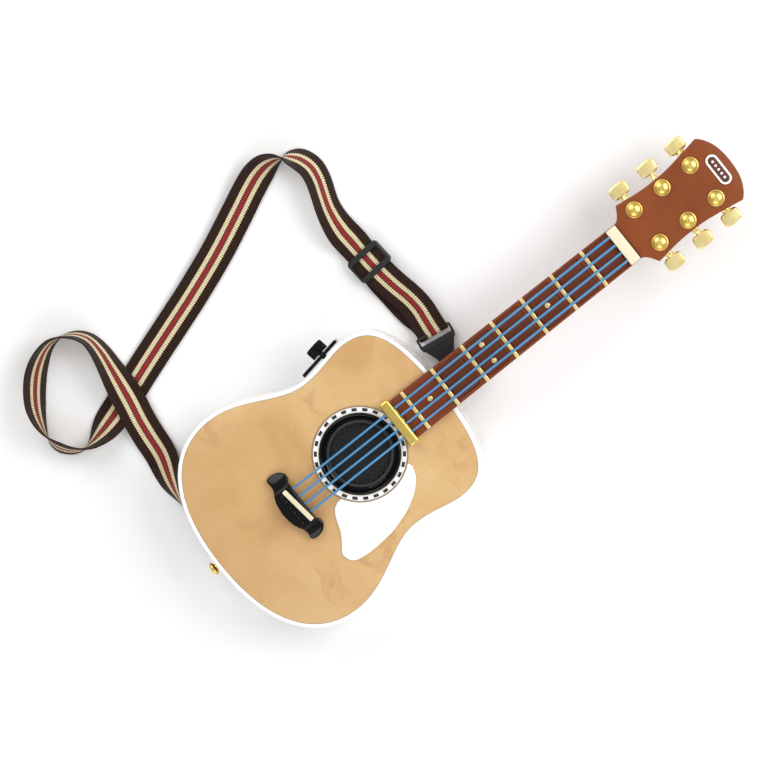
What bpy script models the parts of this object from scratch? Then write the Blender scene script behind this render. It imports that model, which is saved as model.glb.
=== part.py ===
"""Toy guitar with a webbing strap: body shells, neck, keys, tuners, speaker, boards and battery box.

Frame: +Y runs along the neck towards the head, +X is the pickguard side, +Z is out of the face.
The guitar lies on its back on z = 0, and the origin is below the middle of its length. Metres.
"""
import bpy
import bmesh
from math import cos, pi, radians, sin
from mathutils import Matrix, Vector

GAP = 0.0003

# body
BODY_LENGTH = 0.3134
BODY_DEPTH = 0.070
LOWER_HALF, LOWER_AT = 0.1345, 0.0920       # half width, and its distance from the body's lower end
WAIST_HALF, WAIST_AT = 0.1005, 0.1995
UPPER_HALF, UPPER_AT = 0.1083, 0.2577
WALL = 0.0025
SPLIT_Z = 0.036                             # parting line of the two shells
BACK_ROUND = 0.014
RIM_WIDTH, RIM_HEIGHT = 0.0043, 0.0004
PANEL_THICK = 0.0017

# sound hole, pickguard, bridge
HOLE_AT = 0.2023                            # from the body's lower end, as every ..._AT here
HOLE_RADIUS = 0.0415
GRILLE_RADIUS = HOLE_RADIUS - 0.0047
ROSETTE_INNER = HOLE_RADIUS + 0.0034
ROSETTE_WIDTH, ROSETTE_THICK = 0.0076, 0.0010
ROSETTE_OUTER = ROSETTE_INNER + ROSETTE_WIDTH
SPEAKER_RADIUS, SPEAKER_DEPTH = HOLE_RADIUS - 0.0045, 0.0240
SPEAKER_MAGNET_RADIUS = 0.0180
GUARD_THICK = 0.0014
BRIDGE_AT, BRIDGE_HEIGHT = 0.1095, 0.0105
SADDLE_LENGTH, SADDLE_WIDTH, SADDLE_ABOVE, SADDLE_TURN = 0.044, 0.0054, 0.0026, 7.0
SADDLE_X, SADDLE_Y = 0.0019, 0.0032

# end bar, frets, keys, nut and head: each starts from the one before it, up the neck
END_BAR_AT = HOLE_AT + ROSETTE_OUTER + GAP
END_BAR_WIDTH, END_BAR_HALF, END_BAR_ABOVE = 0.0116, 0.0286, 0.0150
BOARD_START_AT = END_BAR_AT + END_BAR_WIDTH / 2 + 0.0011
BOARD_HALF_START, BOARD_HALF_END = 0.0250, 0.0232
BOARD_TOP = BODY_DEPTH + 0.0058
FRET_FIRST_AT, FRET_PITCH, FRET_COUNT = BOARD_START_AT + 0.0148, 0.0410, 7
FRET_WIDTH, FRET_HEIGHT = 0.0041, 0.0013
KEY_TO_FRET, KEY_SHIFT, KEY_HALF, KEY_COUNT = 0.0055, 0.0020, 0.0203, 6
KEY_LENGTH = FRET_PITCH - 2 * KEY_TO_FRET
KEY_ABOVE, KEY_CLEARANCE = 0.0003, 0.0005
KEY_DEPTH = BOARD_TOP + KEY_ABOVE - BODY_DEPTH - GAP
NUT_AT, NUT_WIDTH, NUT_ABOVE = FRET_FIRST_AT + FRET_COUNT * FRET_PITCH - 0.0065, 0.0124, 0.0070
NECK_BACK_DEPTH = 0.0200
HEEL_LENGTH, HEEL_BOTTOM_Z = 0.0370, 0.0140
TROUGH_HALF, TROUGH_DEPTH = KEY_HALF + 0.0006, 0.0050
NECK_POCKET_HALF, NECK_POCKET_DEPTH, NECK_POCKET_END = 0.0105, 0.0150, 0.0080
HEEL_POCKET_HALF, HEEL_FLOOR, HEEL_POCKET_END = 0.0170, 0.0040, 0.0260
POCKET_FROM_END = 0.0060
HEAD_LENGTH, HEAD_THICK, HEAD_COVER = 0.1398, 0.0140, 0.0070
HEAD_TIP_AT = NUT_AT + NUT_WIDTH + HEAD_LENGTH
HEAD_TOP = BODY_DEPTH + 0.0047
BADGE_FROM_TIP, BADGE_HALF, BADGE_ROUND, BADGE_THICK = 0.0157, 0.0115, 0.0070, 0.0014

# strings
STRING_SPACING, STRING_COUNT, STRING_RADIUS = 0.01045, 4, 0.0013
STRING_LOW_Z, STRING_HIGH_Z = BODY_DEPTH + 0.0078, BODY_DEPTH + 0.0125

# tuners
POST_FIRST_AT, POST_PITCH = NUT_AT + NUT_WIDTH + 0.0265, 0.0383
POST_X, POST_RADIUS, POST_HEIGHT = 0.0224, 0.0092, 0.0062
TUNER_SHAFT_RADIUS, TUNER_CLEARANCE = 0.0019, 0.0003
TUNER_KEY_X = 0.0490                        # middle of the finger key
TUNER_KEY_SIZE = (0.0160, 0.0226, 0.0080)
TUNER_COLLAR_X = 0.0395

# controls
PLATE_AT, PLATE_LENGTH, PLATE_WIDTH, PLATE_THICK, PLATE_TURN = 0.2291, 0.0530, 0.0300, 0.0040, 9.5
PLATE_X, CONTROL_Z = -0.1062, 0.0500
KNOB_RADIUS, KNOB_HEIGHT, KNOB_SHIFT = 0.0106, 0.0125, 0.0040
SHAFT_RADIUS, SHAFT_CLEARANCE = 0.0030, 0.0003

# battery box and boards
DOOR_LENGTH, DOOR_WIDTH, DOOR_AT, DOOR_CLEARANCE = 0.0600, 0.0640, 0.1500, 0.0005
BATTERY_SIZE = (0.0485, 0.0265, 0.0175)
BOARD_THICK = 0.0016
MAIN_BOARD_SIZE, MAIN_BOARD_AT, MAIN_BOARD_Z = (0.090, 0.060), 0.0750, 0.0450
ENCODER_SIZE, ENCODER_IN = (0.0070, 0.0130, 0.0130), 0.0131

# strap and its fittings
PIN_Z, PIN_LENGTH, PIN_HEAD_RADIUS, PIN_STEM_RADIUS = 0.0260, 0.0145, 0.0080, 0.0035
BUTTON_AT, BUTTON_HEAD_Z = BODY_LENGTH + 0.0176, 0.0030
STRAP_WIDTH, STRAP_THICK = 0.0360, 0.0018
TAB_LENGTH, TAB_THICK, TAB_HALF_PIN, TAB_HALF_BAR = 0.0560, 0.0025, 0.0078, 0.0160
TAB_BEND, TAB_FROM_BODY = 1.9, 0.0024          # the lower tab follows the round end of the body
SLIDER_SIZE = (0.0300, 0.0430, 0.0078)
SLIDER_POINT, SLIDER_LEAN = (-0.1574, 0.3332, 0.0116), 12.0

BODY_END = -(HEAD_TIP_AT - PIN_LENGTH) / 2
HOLE_Y = BODY_END + HOLE_AT
SHOULDER_Y = BODY_END + BODY_LENGTH
NUT_Y = BODY_END + NUT_AT
HEAD_START_Y = NUT_Y + NUT_WIDTH
PANEL_TOP = BODY_DEPTH - RIM_HEIGHT
PANEL_BOTTOM = PANEL_TOP - PANEL_THICK
ON_PANEL = PANEL_TOP + GAP
HEAD_BOTTOM = HEAD_TOP - HEAD_THICK
COVER_BOTTOM = HEAD_TOP - HEAD_COVER
NECK_TOP = BODY_DEPTH

for old in list(bpy.data.objects):
    bpy.data.objects.remove(old, do_unlink=True)
parts = bpy.data.collections.new("toy_guitar")
cutters = bpy.data.collections.new("cutters")
bpy.context.scene.collection.children.link(parts)
bpy.context.scene.collection.children.link(cutters)


# ---------- materials ----------

def make_material(name, colour, roughness, metallic=0.0):
    material = bpy.data.materials.new(name)
    material.use_nodes = True
    shader = material.node_tree.nodes["Principled BSDF"]
    shader.inputs["Base Color"].default_value = (*colour, 1.0)
    shader.inputs["Roughness"].default_value = roughness
    shader.inputs["Metallic"].default_value = metallic
    return material


WHITE = ("white_plastic", (0.90, 0.89, 0.86), 0.35)
TAN = ("face_print", (0.72, 0.48, 0.25), 0.35)
BROWN = ("brown_plastic", (0.27, 0.07, 0.02), 0.38)
BROWN_KEY = ("key_brown", (0.19, 0.05, 0.02), 0.40)
BLACK = ("gloss_black", (0.010, 0.010, 0.011), 0.15)
GREY_BLACK = ("strap_plastic", (0.035, 0.035, 0.037), 0.45)
GOLD = ("gold_plate", (0.80, 0.56, 0.16), 0.22, 1.0)
CREAM = ("cream_plastic", (0.93, 0.88, 0.68), 0.35)
BLUE = ("blue_string", (0.15, 0.40, 0.70), 0.35)
WEBBING = ("webbing", (0.035, 0.015, 0.010), 0.85)
GREEN_BOARD = ("board_green", (0.02, 0.18, 0.06), 0.45)
STEEL = ("steel", (0.60, 0.60, 0.62), 0.30, 1.0)
CELL = ("cell_wrap", (0.06, 0.06, 0.07), 0.35)
CONE = ("speaker_cone", (0.05, 0.05, 0.05), 0.70)


def finish(item, name, look, home=parts):
    item.name = name
    item.data.name = name
    if look:
        item.data.materials.clear()
        item.data.materials.append(make_material(name + "_" + look[0], *look[1:]))
    for owner in list(item.users_collection):
        owner.objects.unlink(item)
    home.objects.link(item)
    if home is cutters:
        item.hide_render = True
        item.display_type = "WIRE"
    if item.type == "MESH":
        item.data.shade_smooth()
        item.data.set_sharp_from_angle(angle=radians(35))
    return item


# ---------- shapes ----------

def mesh_from_bmesh(shape):
    mesh = bpy.data.meshes.new("shape")
    shape.to_mesh(mesh)
    shape.free()
    item = bpy.data.objects.new("shape", mesh)
    bpy.context.scene.collection.objects.link(item)
    return item


def solid_from_curve(curve):
    """The curve object's evaluated surface, welded to one closed mesh object in its place."""
    bpy.context.scene.collection.objects.link(curve)
    bpy.context.view_layer.update()
    evaluated = curve.evaluated_get(bpy.context.evaluated_depsgraph_get())
    mesh = bpy.data.meshes.new_from_object(evaluated)
    place = curve.matrix_world.copy()
    bpy.data.objects.remove(curve, do_unlink=True)
    shape = bmesh.new()
    shape.from_mesh(mesh)
    bmesh.ops.remove_doubles(shape, verts=shape.verts, dist=0.00001)
    shape.to_mesh(mesh)
    shape.free()
    item = bpy.data.objects.new("shape", mesh)
    item.matrix_world = place
    bpy.context.scene.collection.objects.link(item)
    return item


def plate(outlines, low, high):
    """Flat outlines in X and Y, the first the edge and the rest holes, filled from z low to high."""
    data = bpy.data.curves.new("outline", "CURVE")
    data.dimensions = "2D"
    data.fill_mode = "BOTH"
    data.extrude = (high - low) / 2
    for outline in outlines:
        spline = data.splines.new("POLY")
        spline.points.add(len(outline) - 1)
        for point, (x, y) in zip(spline.points, outline):
            point.co = (x, y, 0, 1)
        spline.use_cyclic_u = True
    curve = bpy.data.objects.new("outline", data)
    curve.location.z = (low + high) / 2
    return solid_from_curve(curve)


def rounded_edge(item, width, segments, which):
    """Bevels the sharp edges that the test picks, by their two end points in the object's space."""
    shape = bmesh.new()
    shape.from_mesh(item.data)
    inner = [edge for edge in shape.edges if edge.calc_face_angle(1) < radians(0.01)]
    bmesh.ops.dissolve_edges(shape, edges=inner, use_verts=False)
    edges = [edge for edge in shape.edges if edge.calc_face_angle(0) > radians(40)
             and which(edge.verts[0].co) and which(edge.verts[1].co)]
    bmesh.ops.bevel(shape, geom=edges, offset=width, segments=segments, profile=0.5, affect="EDGES",
                    material=-1, clamp_overlap=False)
    shape.to_mesh(item.data)
    shape.free()
    return item


def box(size, centre, bevel=0.0, segments=2):
    shape = bmesh.new()
    bmesh.ops.create_cube(shape, size=1.0)
    bmesh.ops.scale(shape, vec=size, verts=shape.verts)
    if bevel:
        bmesh.ops.bevel(shape, geom=shape.edges[:], offset=bevel, segments=segments, profile=0.5,
                        affect="EDGES", material=-1)
    item = mesh_from_bmesh(shape)
    item.location = centre
    return item


def rod(radius, length, centre, axis="Z", sides=32):
    shape = bmesh.new()
    bmesh.ops.create_cone(shape, cap_ends=True, segments=sides, radius1=radius, radius2=radius, depth=length)
    item = mesh_from_bmesh(shape)
    item.location = centre
    if axis == "X":
        item.rotation_euler = (0, pi / 2, 0)
    if axis == "Y":
        item.rotation_euler = (pi / 2, 0, 0)
    return item


def turned(profile, centre, steps=48, closed=False):
    """A profile of (radius, height) turned about Z; it starts at the top and runs down the outside."""
    mesh = bpy.data.meshes.new("profile")
    count = len(profile)
    edges = [(index, index + 1) for index in range(count - 1)]
    if closed:
        edges.append((count - 1, 0))
    mesh.from_pydata([(radius, 0, height) for radius, height in profile], edges, [])
    item = bpy.data.objects.new("turned", mesh)
    bpy.context.scene.collection.objects.link(item)
    item.location = centre
    screw = item.modifiers.new("turn", "SCREW")
    screw.steps = steps
    screw.render_steps = steps
    screw.use_merge_vertices = True
    screw.merge_threshold = 0.00005
    screw.use_smooth_shade = True
    return item


def cut(item, cutter, name):
    finish(cutter, name, None, cutters)
    boolean = item.modifiers.new(name, "BOOLEAN")
    boolean.operation = "DIFFERENCE"
    boolean.object = cutter


def join(item, other, name):
    finish(other, name, None, cutters)
    boolean = item.modifiers.new(name, "BOOLEAN")
    boolean.operation = "UNION"
    boolean.object = other


def bezier(start, first, second, end, steps):
    points = []
    for step in range(steps):
        t = step / steps
        weights = ((1 - t) ** 3, 3 * (1 - t) ** 2 * t, 3 * (1 - t) * t * t, t ** 3)
        corners = (start, first, second, end)
        points.append(tuple(sum(w * p[axis] for w, p in zip(weights, corners)) for axis in (0, 1)))
    return points


def smooth_through(points, steps, closed=False):
    """A Catmull-Rom curve through points of any number of values, with steps to each stretch."""
    count = len(points)
    result = []
    for index in range(count if closed else count - 1):
        if closed:
            four = [points[(index + shift) % count] for shift in (-1, 0, 1, 2)]
        else:
            four = [points[min(max(index + shift, 0), count - 1)] for shift in (-1, 0, 1, 2)]
        for step in range(steps):
            t = step / steps
            weights = ((-t + 2 * t * t - t ** 3) / 2, (2 - 5 * t * t + 3 * t ** 3) / 2,
                       (t + 4 * t * t - 3 * t ** 3) / 2, (t ** 3 - t * t) / 2)
            result.append(tuple(sum(w * p[axis] for w, p in zip(weights, four))
                                for axis in range(len(points[0]))))
    if not closed:
        result.append(tuple(points[-1]))
    return result


def mirrored(half):
    """A half outline at x >= 0, from its lowest point up, and its mirror back down."""
    return half + [(-x, y) for x, y in reversed(half) if x > 0.00001]


def body_outline(inset=0.0):
    """The figure-of-eight edge of the body, moved inwards by inset."""
    end, lower, waist = (0, 0), (LOWER_HALF, LOWER_AT), (WAIST_HALF, WAIST_AT)
    upper, top = (UPPER_HALF, UPPER_AT), (0, BODY_LENGTH)
    half = bezier(end, (0.70 * LOWER_HALF, 0), (lower[0], LOWER_AT * 0.44), lower, 14)
    half += bezier(lower, (lower[0], LOWER_AT + 0.0447), (waist[0], WAIST_AT - 0.0333), waist, 10)
    half += bezier(waist, (waist[0], WAIST_AT + 0.0252), (upper[0], UPPER_AT - 0.0174), upper, 7)
    half += bezier(upper, (upper[0], UPPER_AT + 0.0382), (0.77 * UPPER_HALF, top[1]), top, 14)
    ring = [(x, y + BODY_END) for x, y in mirrored(half + [top])]
    moved = []
    for index, point in enumerate(ring):
        before, after = Vector(ring[index - 1]), Vector(ring[(index + 1) % len(ring)])
        along = (after - before).normalized()
        moved.append((point[0] - along.y * inset, point[1] + along.x * inset))
    return moved


# ---------- body ----------

def make_body():
    back = plate([body_outline()], 0, SPLIT_Z)
    half_depth = SPLIT_Z / 2
    rounded_edge(back, BACK_ROUND, 4, lambda co: co.z < -half_depth + 0.0001)
    cut(back, plate([body_outline(BACK_ROUND)], WALL, WALL + BACK_ROUND), "back_floor_hollow")
    cut(back, plate([body_outline(WALL)], BACK_ROUND, SPLIT_Z + WALL), "back_hollow")
    door_y = BODY_END + DOOR_AT
    opening = box((DOOR_WIDTH, DOOR_LENGTH, 4 * WALL), (0, door_y, WALL), 0)
    cut(back, opening, "door_opening")
    finish(back, "back_shell", WHITE)

    front = plate([body_outline()], SPLIT_Z + GAP, BODY_DEPTH)
    half_front = (BODY_DEPTH - SPLIT_Z - GAP) / 2
    rounded_edge(front, 0.0012, 2, lambda co: co.z > half_front - 0.0001)
    under = PANEL_BOTTOM - GAP - WALL
    cut(front, plate([body_outline(WALL)], SPLIT_Z - WALL, under), "front_hollow")
    cut(front, plate([body_outline(RIM_WIDTH)], PANEL_BOTTOM - GAP, BODY_DEPTH + WALL), "panel_recess")
    cut(front, rod(HOLE_RADIUS, 4 * WALL, (0, HOLE_Y, PANEL_BOTTOM), sides=64), "front_sound_hole")
    cut(front, control_piece(rod(SHAFT_RADIUS + 2 * SHAFT_CLEARANCE, 12 * WALL, (0, 0, 0), "X"),
                             KNOB_SHIFT, 0.0020), "shaft_hole")
    finish(front, "front_shell", WHITE)

    panel = plate([body_outline(RIM_WIDTH + GAP)], PANEL_BOTTOM, PANEL_TOP)
    cut(panel, rod(HOLE_RADIUS, 4 * WALL, (0, HOLE_Y, PANEL_BOTTOM), sides=64), "panel_sound_hole")
    finish(panel, "face_panel", TAN)


PICKGUARD_EDGE = [(0.0453, 0.0367), (0.0572, 0.0324), (0.0685, 0.0216), (0.0755, 0.0108), (0.0809, 0),
                  (0.0874, -0.0216), (0.0890, -0.0324), (0.0906, -0.0540), (0.0885, -0.0734),
                  (0.0831, -0.0809), (0.0755, -0.0831), (0.0712, -0.0820), (0.0626, -0.0755),
                  (0.0540, -0.0701), (0.0399, -0.0647), (0.0334, -0.0615)]
PICKGUARD_ARC = (-61.5, 41.0)               # degrees of the round that lies along the rosette


def make_face_trim():
    first, last = (radians(angle) for angle in PICKGUARD_ARC)
    reach = ROSETTE_OUTER + GAP
    arc = [(reach * cos(first + (last - first) * step / 24), reach * sin(first + (last - first) * step / 24))
           for step in range(25)]
    edge = [(x, y + HOLE_Y) for x, y in arc + smooth_through(PICKGUARD_EDGE, 3)]
    guard = plate([edge], ON_PANEL, ON_PANEL + GUARD_THICK)
    finish(guard, "pickguard", WHITE)

    top = ROSETTE_THICK
    ring = turned([(ROSETTE_INNER, top), (ROSETTE_OUTER - 0.0004, top), (ROSETTE_OUTER, top - 0.0005),
                   (ROSETTE_OUTER, 0), (ROSETTE_INNER, 0)], (0, HOLE_Y, ON_PANEL), 56, True)
    bar_notch = (2 * (END_BAR_HALF + GAP), END_BAR_WIDTH + 2 * GAP, 0.01)
    cut(ring, box(bar_notch, (0, BODY_END + END_BAR_AT, ON_PANEL)), "end_bar_notch")
    finish(ring, "rosette_ring", WHITE)
    lip = ROSETTE_INNER - GAP
    throat = GRILLE_RADIUS + GAP
    inner = HOLE_RADIUS - GAP
    bezel = turned([(lip - 0.0012, 0.0019), (lip - 0.0002, 0.0015), (lip, 0), (inner, 0),
                    (inner, -0.0030), (inner - 0.0015, -0.0048), (throat, -0.0048), (throat, -0.0030),
                    (inner, 0.0017)], (0, HOLE_Y, ON_PANEL), 48, True)
    finish(bezel, "speaker_bezel", BLACK)
    grille = turned([(0, -0.0030), (GRILLE_RADIUS * 0.6, -0.0033), (GRILLE_RADIUS, -0.0044),
                     (GRILLE_RADIUS, -0.0056), (GRILLE_RADIUS * 0.6, -0.0046), (0, -0.0043)],
                    (0, HOLE_Y, ON_PANEL), 48)
    finish(grille, "speaker_grille", BLACK)
    depth, magnet = SPEAKER_DEPTH, SPEAKER_MAGNET_RADIUS
    driver = turned([(0, -0.0010), (SPEAKER_RADIUS * 0.9, 0), (SPEAKER_RADIUS, 0), (SPEAKER_RADIUS, -0.0012),
                     (SPEAKER_RADIUS * 0.9, -0.0030), (magnet, -0.6 * depth), (magnet, -depth), (0, -depth)],
                    (0, HOLE_Y, PANEL_BOTTOM - WALL - 0.0045), 40)
    finish(driver, "speaker_driver", CONE)


BRIDGE_HALF_EDGE = [(0, -0.0167), (0.0130, -0.0151), (0.0205, -0.0122), (0.0237, -0.0103), (0.0270, -0.0086),
                    (0.0324, -0.0080), (0.0388, -0.0084), (0.0410, -0.0060), (0.0418, 0.0), (0.0394, 0.0075),
                    (0.0345, 0.0119), (0.0313, 0.0126), (0.0270, 0.0119), (0.0245, 0.0094), (0, 0.0094)]
BRIDGE_FRONT = 0.0094


def make_bridge():
    bridge_y = BODY_END + BRIDGE_AT
    half = smooth_through(BRIDGE_HALF_EDGE[:-1], 2) + [BRIDGE_HALF_EDGE[-1]]
    edge = [(x, y + bridge_y) for x, y in mirrored(half)]
    top = ON_PANEL + BRIDGE_HEIGHT
    bridge = plate([edge], ON_PANEL, top)
    rounded_edge(bridge, 0.0018, 3, lambda co: co.z > BRIDGE_HEIGHT / 2 - 0.0001)
    sink = 0.0020
    place = (SADDLE_X, bridge_y + SADDLE_Y, top - sink / 2)
    slot = box((SADDLE_LENGTH + 2 * GAP, SADDLE_WIDTH + 2 * GAP, 2 * sink), (place[0], place[1], top))
    slot.rotation_euler = (0, 0, radians(SADDLE_TURN))
    cut(bridge, slot, "saddle_slot")
    finish(bridge, "bridge", BLACK)
    height = sink + SADDLE_ABOVE - GAP
    saddle = box((SADDLE_LENGTH, SADDLE_WIDTH, height), (place[0], place[1], top - sink + GAP + height / 2), 0.0008)
    saddle.rotation_euler = (0, 0, radians(SADDLE_TURN))
    finish(saddle, "saddle", CREAM)


# ---------- neck, head, keys and strings ----------

def board_half(y):
    share = (y - BODY_END - BOARD_START_AT) / (HEAD_START_Y - BODY_END - BOARD_START_AT)
    return BOARD_HALF_START + (BOARD_HALF_END - BOARD_HALF_START) * share


def fret_y(index):
    return BODY_END + FRET_FIRST_AT + index * FRET_PITCH


def key_y(index):
    return fret_y(index + 1) + FRET_PITCH / 2 - KEY_SHIFT


def head_outline(inset=0.0):
    """The head from its narrow start beside the nut to the round top, as rises above HEAD_START_Y."""
    length = HEAD_LENGTH
    start = BOARD_HALF_END
    side = smooth_through([(0.0378, 0.0113), (0.0345, 0.0430), (0.0343, 0.0750), (0.0388, 0.1070),
                           (0.0416, 0.1238)], 4)
    crown = smooth_through([(0.0416, 0.1238), (0.0340, 0.1295), (0.0220, 0.1350), (0.0100, length - 0.0006),
                            (0, length)], 3)[1:]
    half = [(start, GAP), (0.0290, 0.0047)] + side + crown
    scale = 1 - inset / 0.0378
    return [(x * scale, HEAD_START_Y + y) for x, y in mirrored(half)]


def make_neck():
    start = BODY_END + BOARD_START_AT
    first, last = board_half(start), board_half(HEAD_START_Y)
    board = plate([[(-first, start), (first, start), (last, HEAD_START_Y), (-last, HEAD_START_Y)]],
                  NECK_TOP + GAP, BOARD_TOP)
    rounded_edge(board, 0.0010, 2, lambda co: co.z > (BOARD_TOP - NECK_TOP - GAP) / 2 - 0.0001)
    hole = (2 * (KEY_HALF + KEY_CLEARANCE), KEY_LENGTH + 2 * KEY_CLEARANCE)
    for index in range(KEY_COUNT):
        opening = box((hole[0], hole[1], 0.04), (0, key_y(index), BOARD_TOP))
        cut(board, opening, f"key_opening_{index + 1}")
    finish(board, "fingerboard", BROWN)

    neck_start = SHOULDER_Y + GAP
    length = HEAD_START_Y + 0.012 - neck_start
    base, depth = board_half(neck_start), NECK_BACK_DEPTH
    rounds = [(base * cos(angle), depth * sin(angle)) for angle in
              (pi + pi * step / 20 for step in range(21))]
    back = plate([rounds], -length / 2, length / 2)
    share = last / base
    for vertex in back.data.vertices:
        if vertex.co.z < 0:
            vertex.co.x *= share
    back.rotation_euler = (pi / 2, 0, 0)
    back.location = (0, neck_start + length / 2, NECK_TOP)
    foot = HEEL_BOTTOM_Z
    side = smooth_through([(HEEL_LENGTH * 0.80, foot), (HEEL_LENGTH * 0.95, foot + 0.004),
                           (HEEL_LENGTH, foot + 0.013), (HEEL_LENGTH * 1.12, foot + 0.028),
                           (HEEL_LENGTH * 1.5, NECK_TOP - depth + 0.001)], 3)
    heel_top = NECK_TOP - 0.7 * depth
    outline = [(0, foot)] + side + [(HEEL_LENGTH * 1.5, heel_top), (0, heel_top)]
    heel = plate([outline], -base * 0.92, base * 0.92)
    heel.rotation_euler = (pi / 2, 0, pi / 2)
    heel.location = (0, neck_start, 0)
    join(back, heel, "heel_block")
    join(back, plate([head_outline(0.0004)], HEAD_BOTTOM, COVER_BOTTOM - GAP), "head_back")
    pocket_start = neck_start + POCKET_FROM_END
    trough_start = min(pocket_start, key_y(0) - KEY_LENGTH / 2 - KEY_CLEARANCE)
    trough_end = NUT_Y - 0.0005
    cut(back, box((2 * TROUGH_HALF, trough_end - trough_start, 2 * TROUGH_DEPTH),
                  (0, (trough_start + trough_end) / 2, NECK_TOP)), "key_trough")
    pocket_end = trough_end - NECK_POCKET_END
    cut(back, box((2 * NECK_POCKET_HALF, pocket_end - pocket_start, 2 * NECK_POCKET_DEPTH),
                  (0, (pocket_start + pocket_end) / 2, NECK_TOP)), "neck_pocket")
    heel_depth = NECK_TOP - foot - HEEL_FLOOR
    heel_end = neck_start + HEEL_POCKET_END
    cut(back, box((2 * HEEL_POCKET_HALF, heel_end - pocket_start, 2 * heel_depth),
                  (0, (pocket_start + heel_end) / 2, NECK_TOP)), "heel_pocket")
    above = COVER_BOTTOM - GAP
    cut(back, box((0.1, 0.15, 0.02), (0, HEAD_START_Y + 0.075 - GAP, above + 0.01)), "head_joint_face")
    shaft_z = (HEAD_BOTTOM + COVER_BOTTOM) / 2
    for row in range(3):
        bore = rod(TUNER_SHAFT_RADIUS + TUNER_CLEARANCE, 0.11, (0, post_y(row), shaft_z), "X", 24)
        cut(back, bore, f"tuner_bore_{row + 1}")
    finish(back, "neck_back", BROWN)

    cover = plate([head_outline()], COVER_BOTTOM, HEAD_TOP)
    rounded_edge(cover, 0.0012, 2, lambda co: co.z > HEAD_COVER / 2 - 0.0001)
    finish(cover, "headstock_cover", BROWN)

    nut = box((2 * last - 0.0012, NUT_WIDTH, NUT_ABOVE),
              (0, NUT_Y + NUT_WIDTH / 2, BOARD_TOP + GAP + NUT_ABOVE / 2), 0.0010)
    finish(nut, "nut", CREAM)
    half_pill = [(BADGE_HALF + BADGE_ROUND * cos(a), BADGE_ROUND * sin(a)) for a in
                 (-pi / 2 + pi * step / 10 for step in range(11))]
    pill = half_pill + [(-x, -y) for x, y in half_pill]
    badge_y = BODY_END + HEAD_TIP_AT - BADGE_FROM_TIP
    badge = plate([[(x, y + badge_y) for x, y in pill]], HEAD_TOP + GAP, HEAD_TOP + GAP + BADGE_THICK)
    finish(badge, "head_badge", WHITE)


def make_frets_and_keys():
    for index in range(FRET_COUNT):
        half = board_half(fret_y(index)) - 0.0002
        low = BOARD_TOP + GAP
        fret = box((2 * half, FRET_WIDTH, FRET_HEIGHT), (0, fret_y(index), low + FRET_HEIGHT / 2), 0.0006)
        finish(fret, f"fret_{index + 1}", GOLD)
    top = BOARD_TOP + KEY_ABOVE
    for index in range(KEY_COUNT):
        key = box((2 * KEY_HALF, KEY_LENGTH, KEY_DEPTH), (0, key_y(index), top - KEY_DEPTH / 2), 0.0008)
        finish(key, f"fret_key_{index + 1}", BROWN_KEY)
    board_z = NECK_TOP - TROUGH_DEPTH + GAP
    first, last = SHOULDER_Y + 0.012, NUT_Y - 0.006
    board = box((2 * TROUGH_HALF - 0.003, last - first, BOARD_THICK),
                (0, (first + last) / 2, board_z + BOARD_THICK / 2))
    finish(board, "key_board", GREEN_BOARD)


def make_strings():
    start = BODY_END + BRIDGE_AT + BRIDGE_FRONT + GAP
    end = NUT_Y - GAP
    for index in range(STRING_COUNT):
        x = (index - (STRING_COUNT - 1) / 2) * STRING_SPACING
        data = bpy.data.curves.new("string", "CURVE")
        data.dimensions = "3D"
        data.bevel_depth = STRING_RADIUS
        data.bevel_resolution = 2
        data.use_fill_caps = True
        spline = data.splines.new("POLY")
        spline.points.add(1)
        spline.points[0].co = (x, start, STRING_LOW_Z, 1)
        spline.points[1].co = (x, end, STRING_HIGH_Z, 1)
        finish(bpy.data.objects.new("string", data), f"string_{index + 1}", BLUE)
    centre_y = BODY_END + END_BAR_AT
    height = BODY_DEPTH + END_BAR_ABOVE - ON_PANEL
    bar = box((2 * END_BAR_HALF, END_BAR_WIDTH, height), (0, centre_y, ON_PANEL + height / 2), 0.0015, 3)
    width = (STRING_COUNT - 1) * STRING_SPACING + 2 * STRING_RADIUS + 0.0030
    share = (centre_y - start) / (end - start)
    middle = STRING_LOW_Z + (STRING_HIGH_Z - STRING_LOW_Z) * share
    cut(bar, box((width, 2 * END_BAR_WIDTH, 2 * STRING_RADIUS + 0.0012), (0, centre_y, middle)), "string_slot")
    finish(bar, "end_bar", GOLD)


# ---------- tuners ----------

def post_y(row):
    return BODY_END + POST_FIRST_AT + row * POST_PITCH


def make_tuners():
    shaft_z = (HEAD_BOTTOM + COVER_BOTTOM) / 2
    number = 0
    for side in (-1, 1):
        for row in range(3):
            number += 1
            radius, height = POST_RADIUS, POST_HEIGHT
            dome = [(radius * 0.80 * sin(a), 0.0016 + (height - 0.0016) * cos(a)) for a in
                    (pi / 2 * step / 4 for step in range(5))]
            post = turned(dome + [(radius, 0.0014), (radius, 0), (0, 0)],
                          (side * POST_X, post_y(row), HEAD_TOP + GAP), 22)
            finish(post, f"tuner_post_{number}", GOLD)
            inner, collar = POST_X, TUNER_COLLAR_X
            shaft = TUNER_SHAFT_RADIUS
            stem = turned([(0, TUNER_KEY_X), (0.0026, TUNER_KEY_X), (0.0026, collar + 0.0035),
                           (0.0052, collar + 0.0006), (0.0052, collar), (shaft, collar), (shaft, inner),
                           (0, inner)], (0, 0, 0), 16)
            stem.rotation_euler = (0, side * pi / 2, 0)
            stem.location = (0, post_y(row), shaft_z)
            head = box(TUNER_KEY_SIZE, (side * TUNER_KEY_X, post_y(row), shaft_z), 0.0026, 2)
            join(stem, head, f"finger_key_{number}")
            finish(stem, f"tuner_key_{number}", GOLD)


# ---------- volume control ----------

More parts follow.
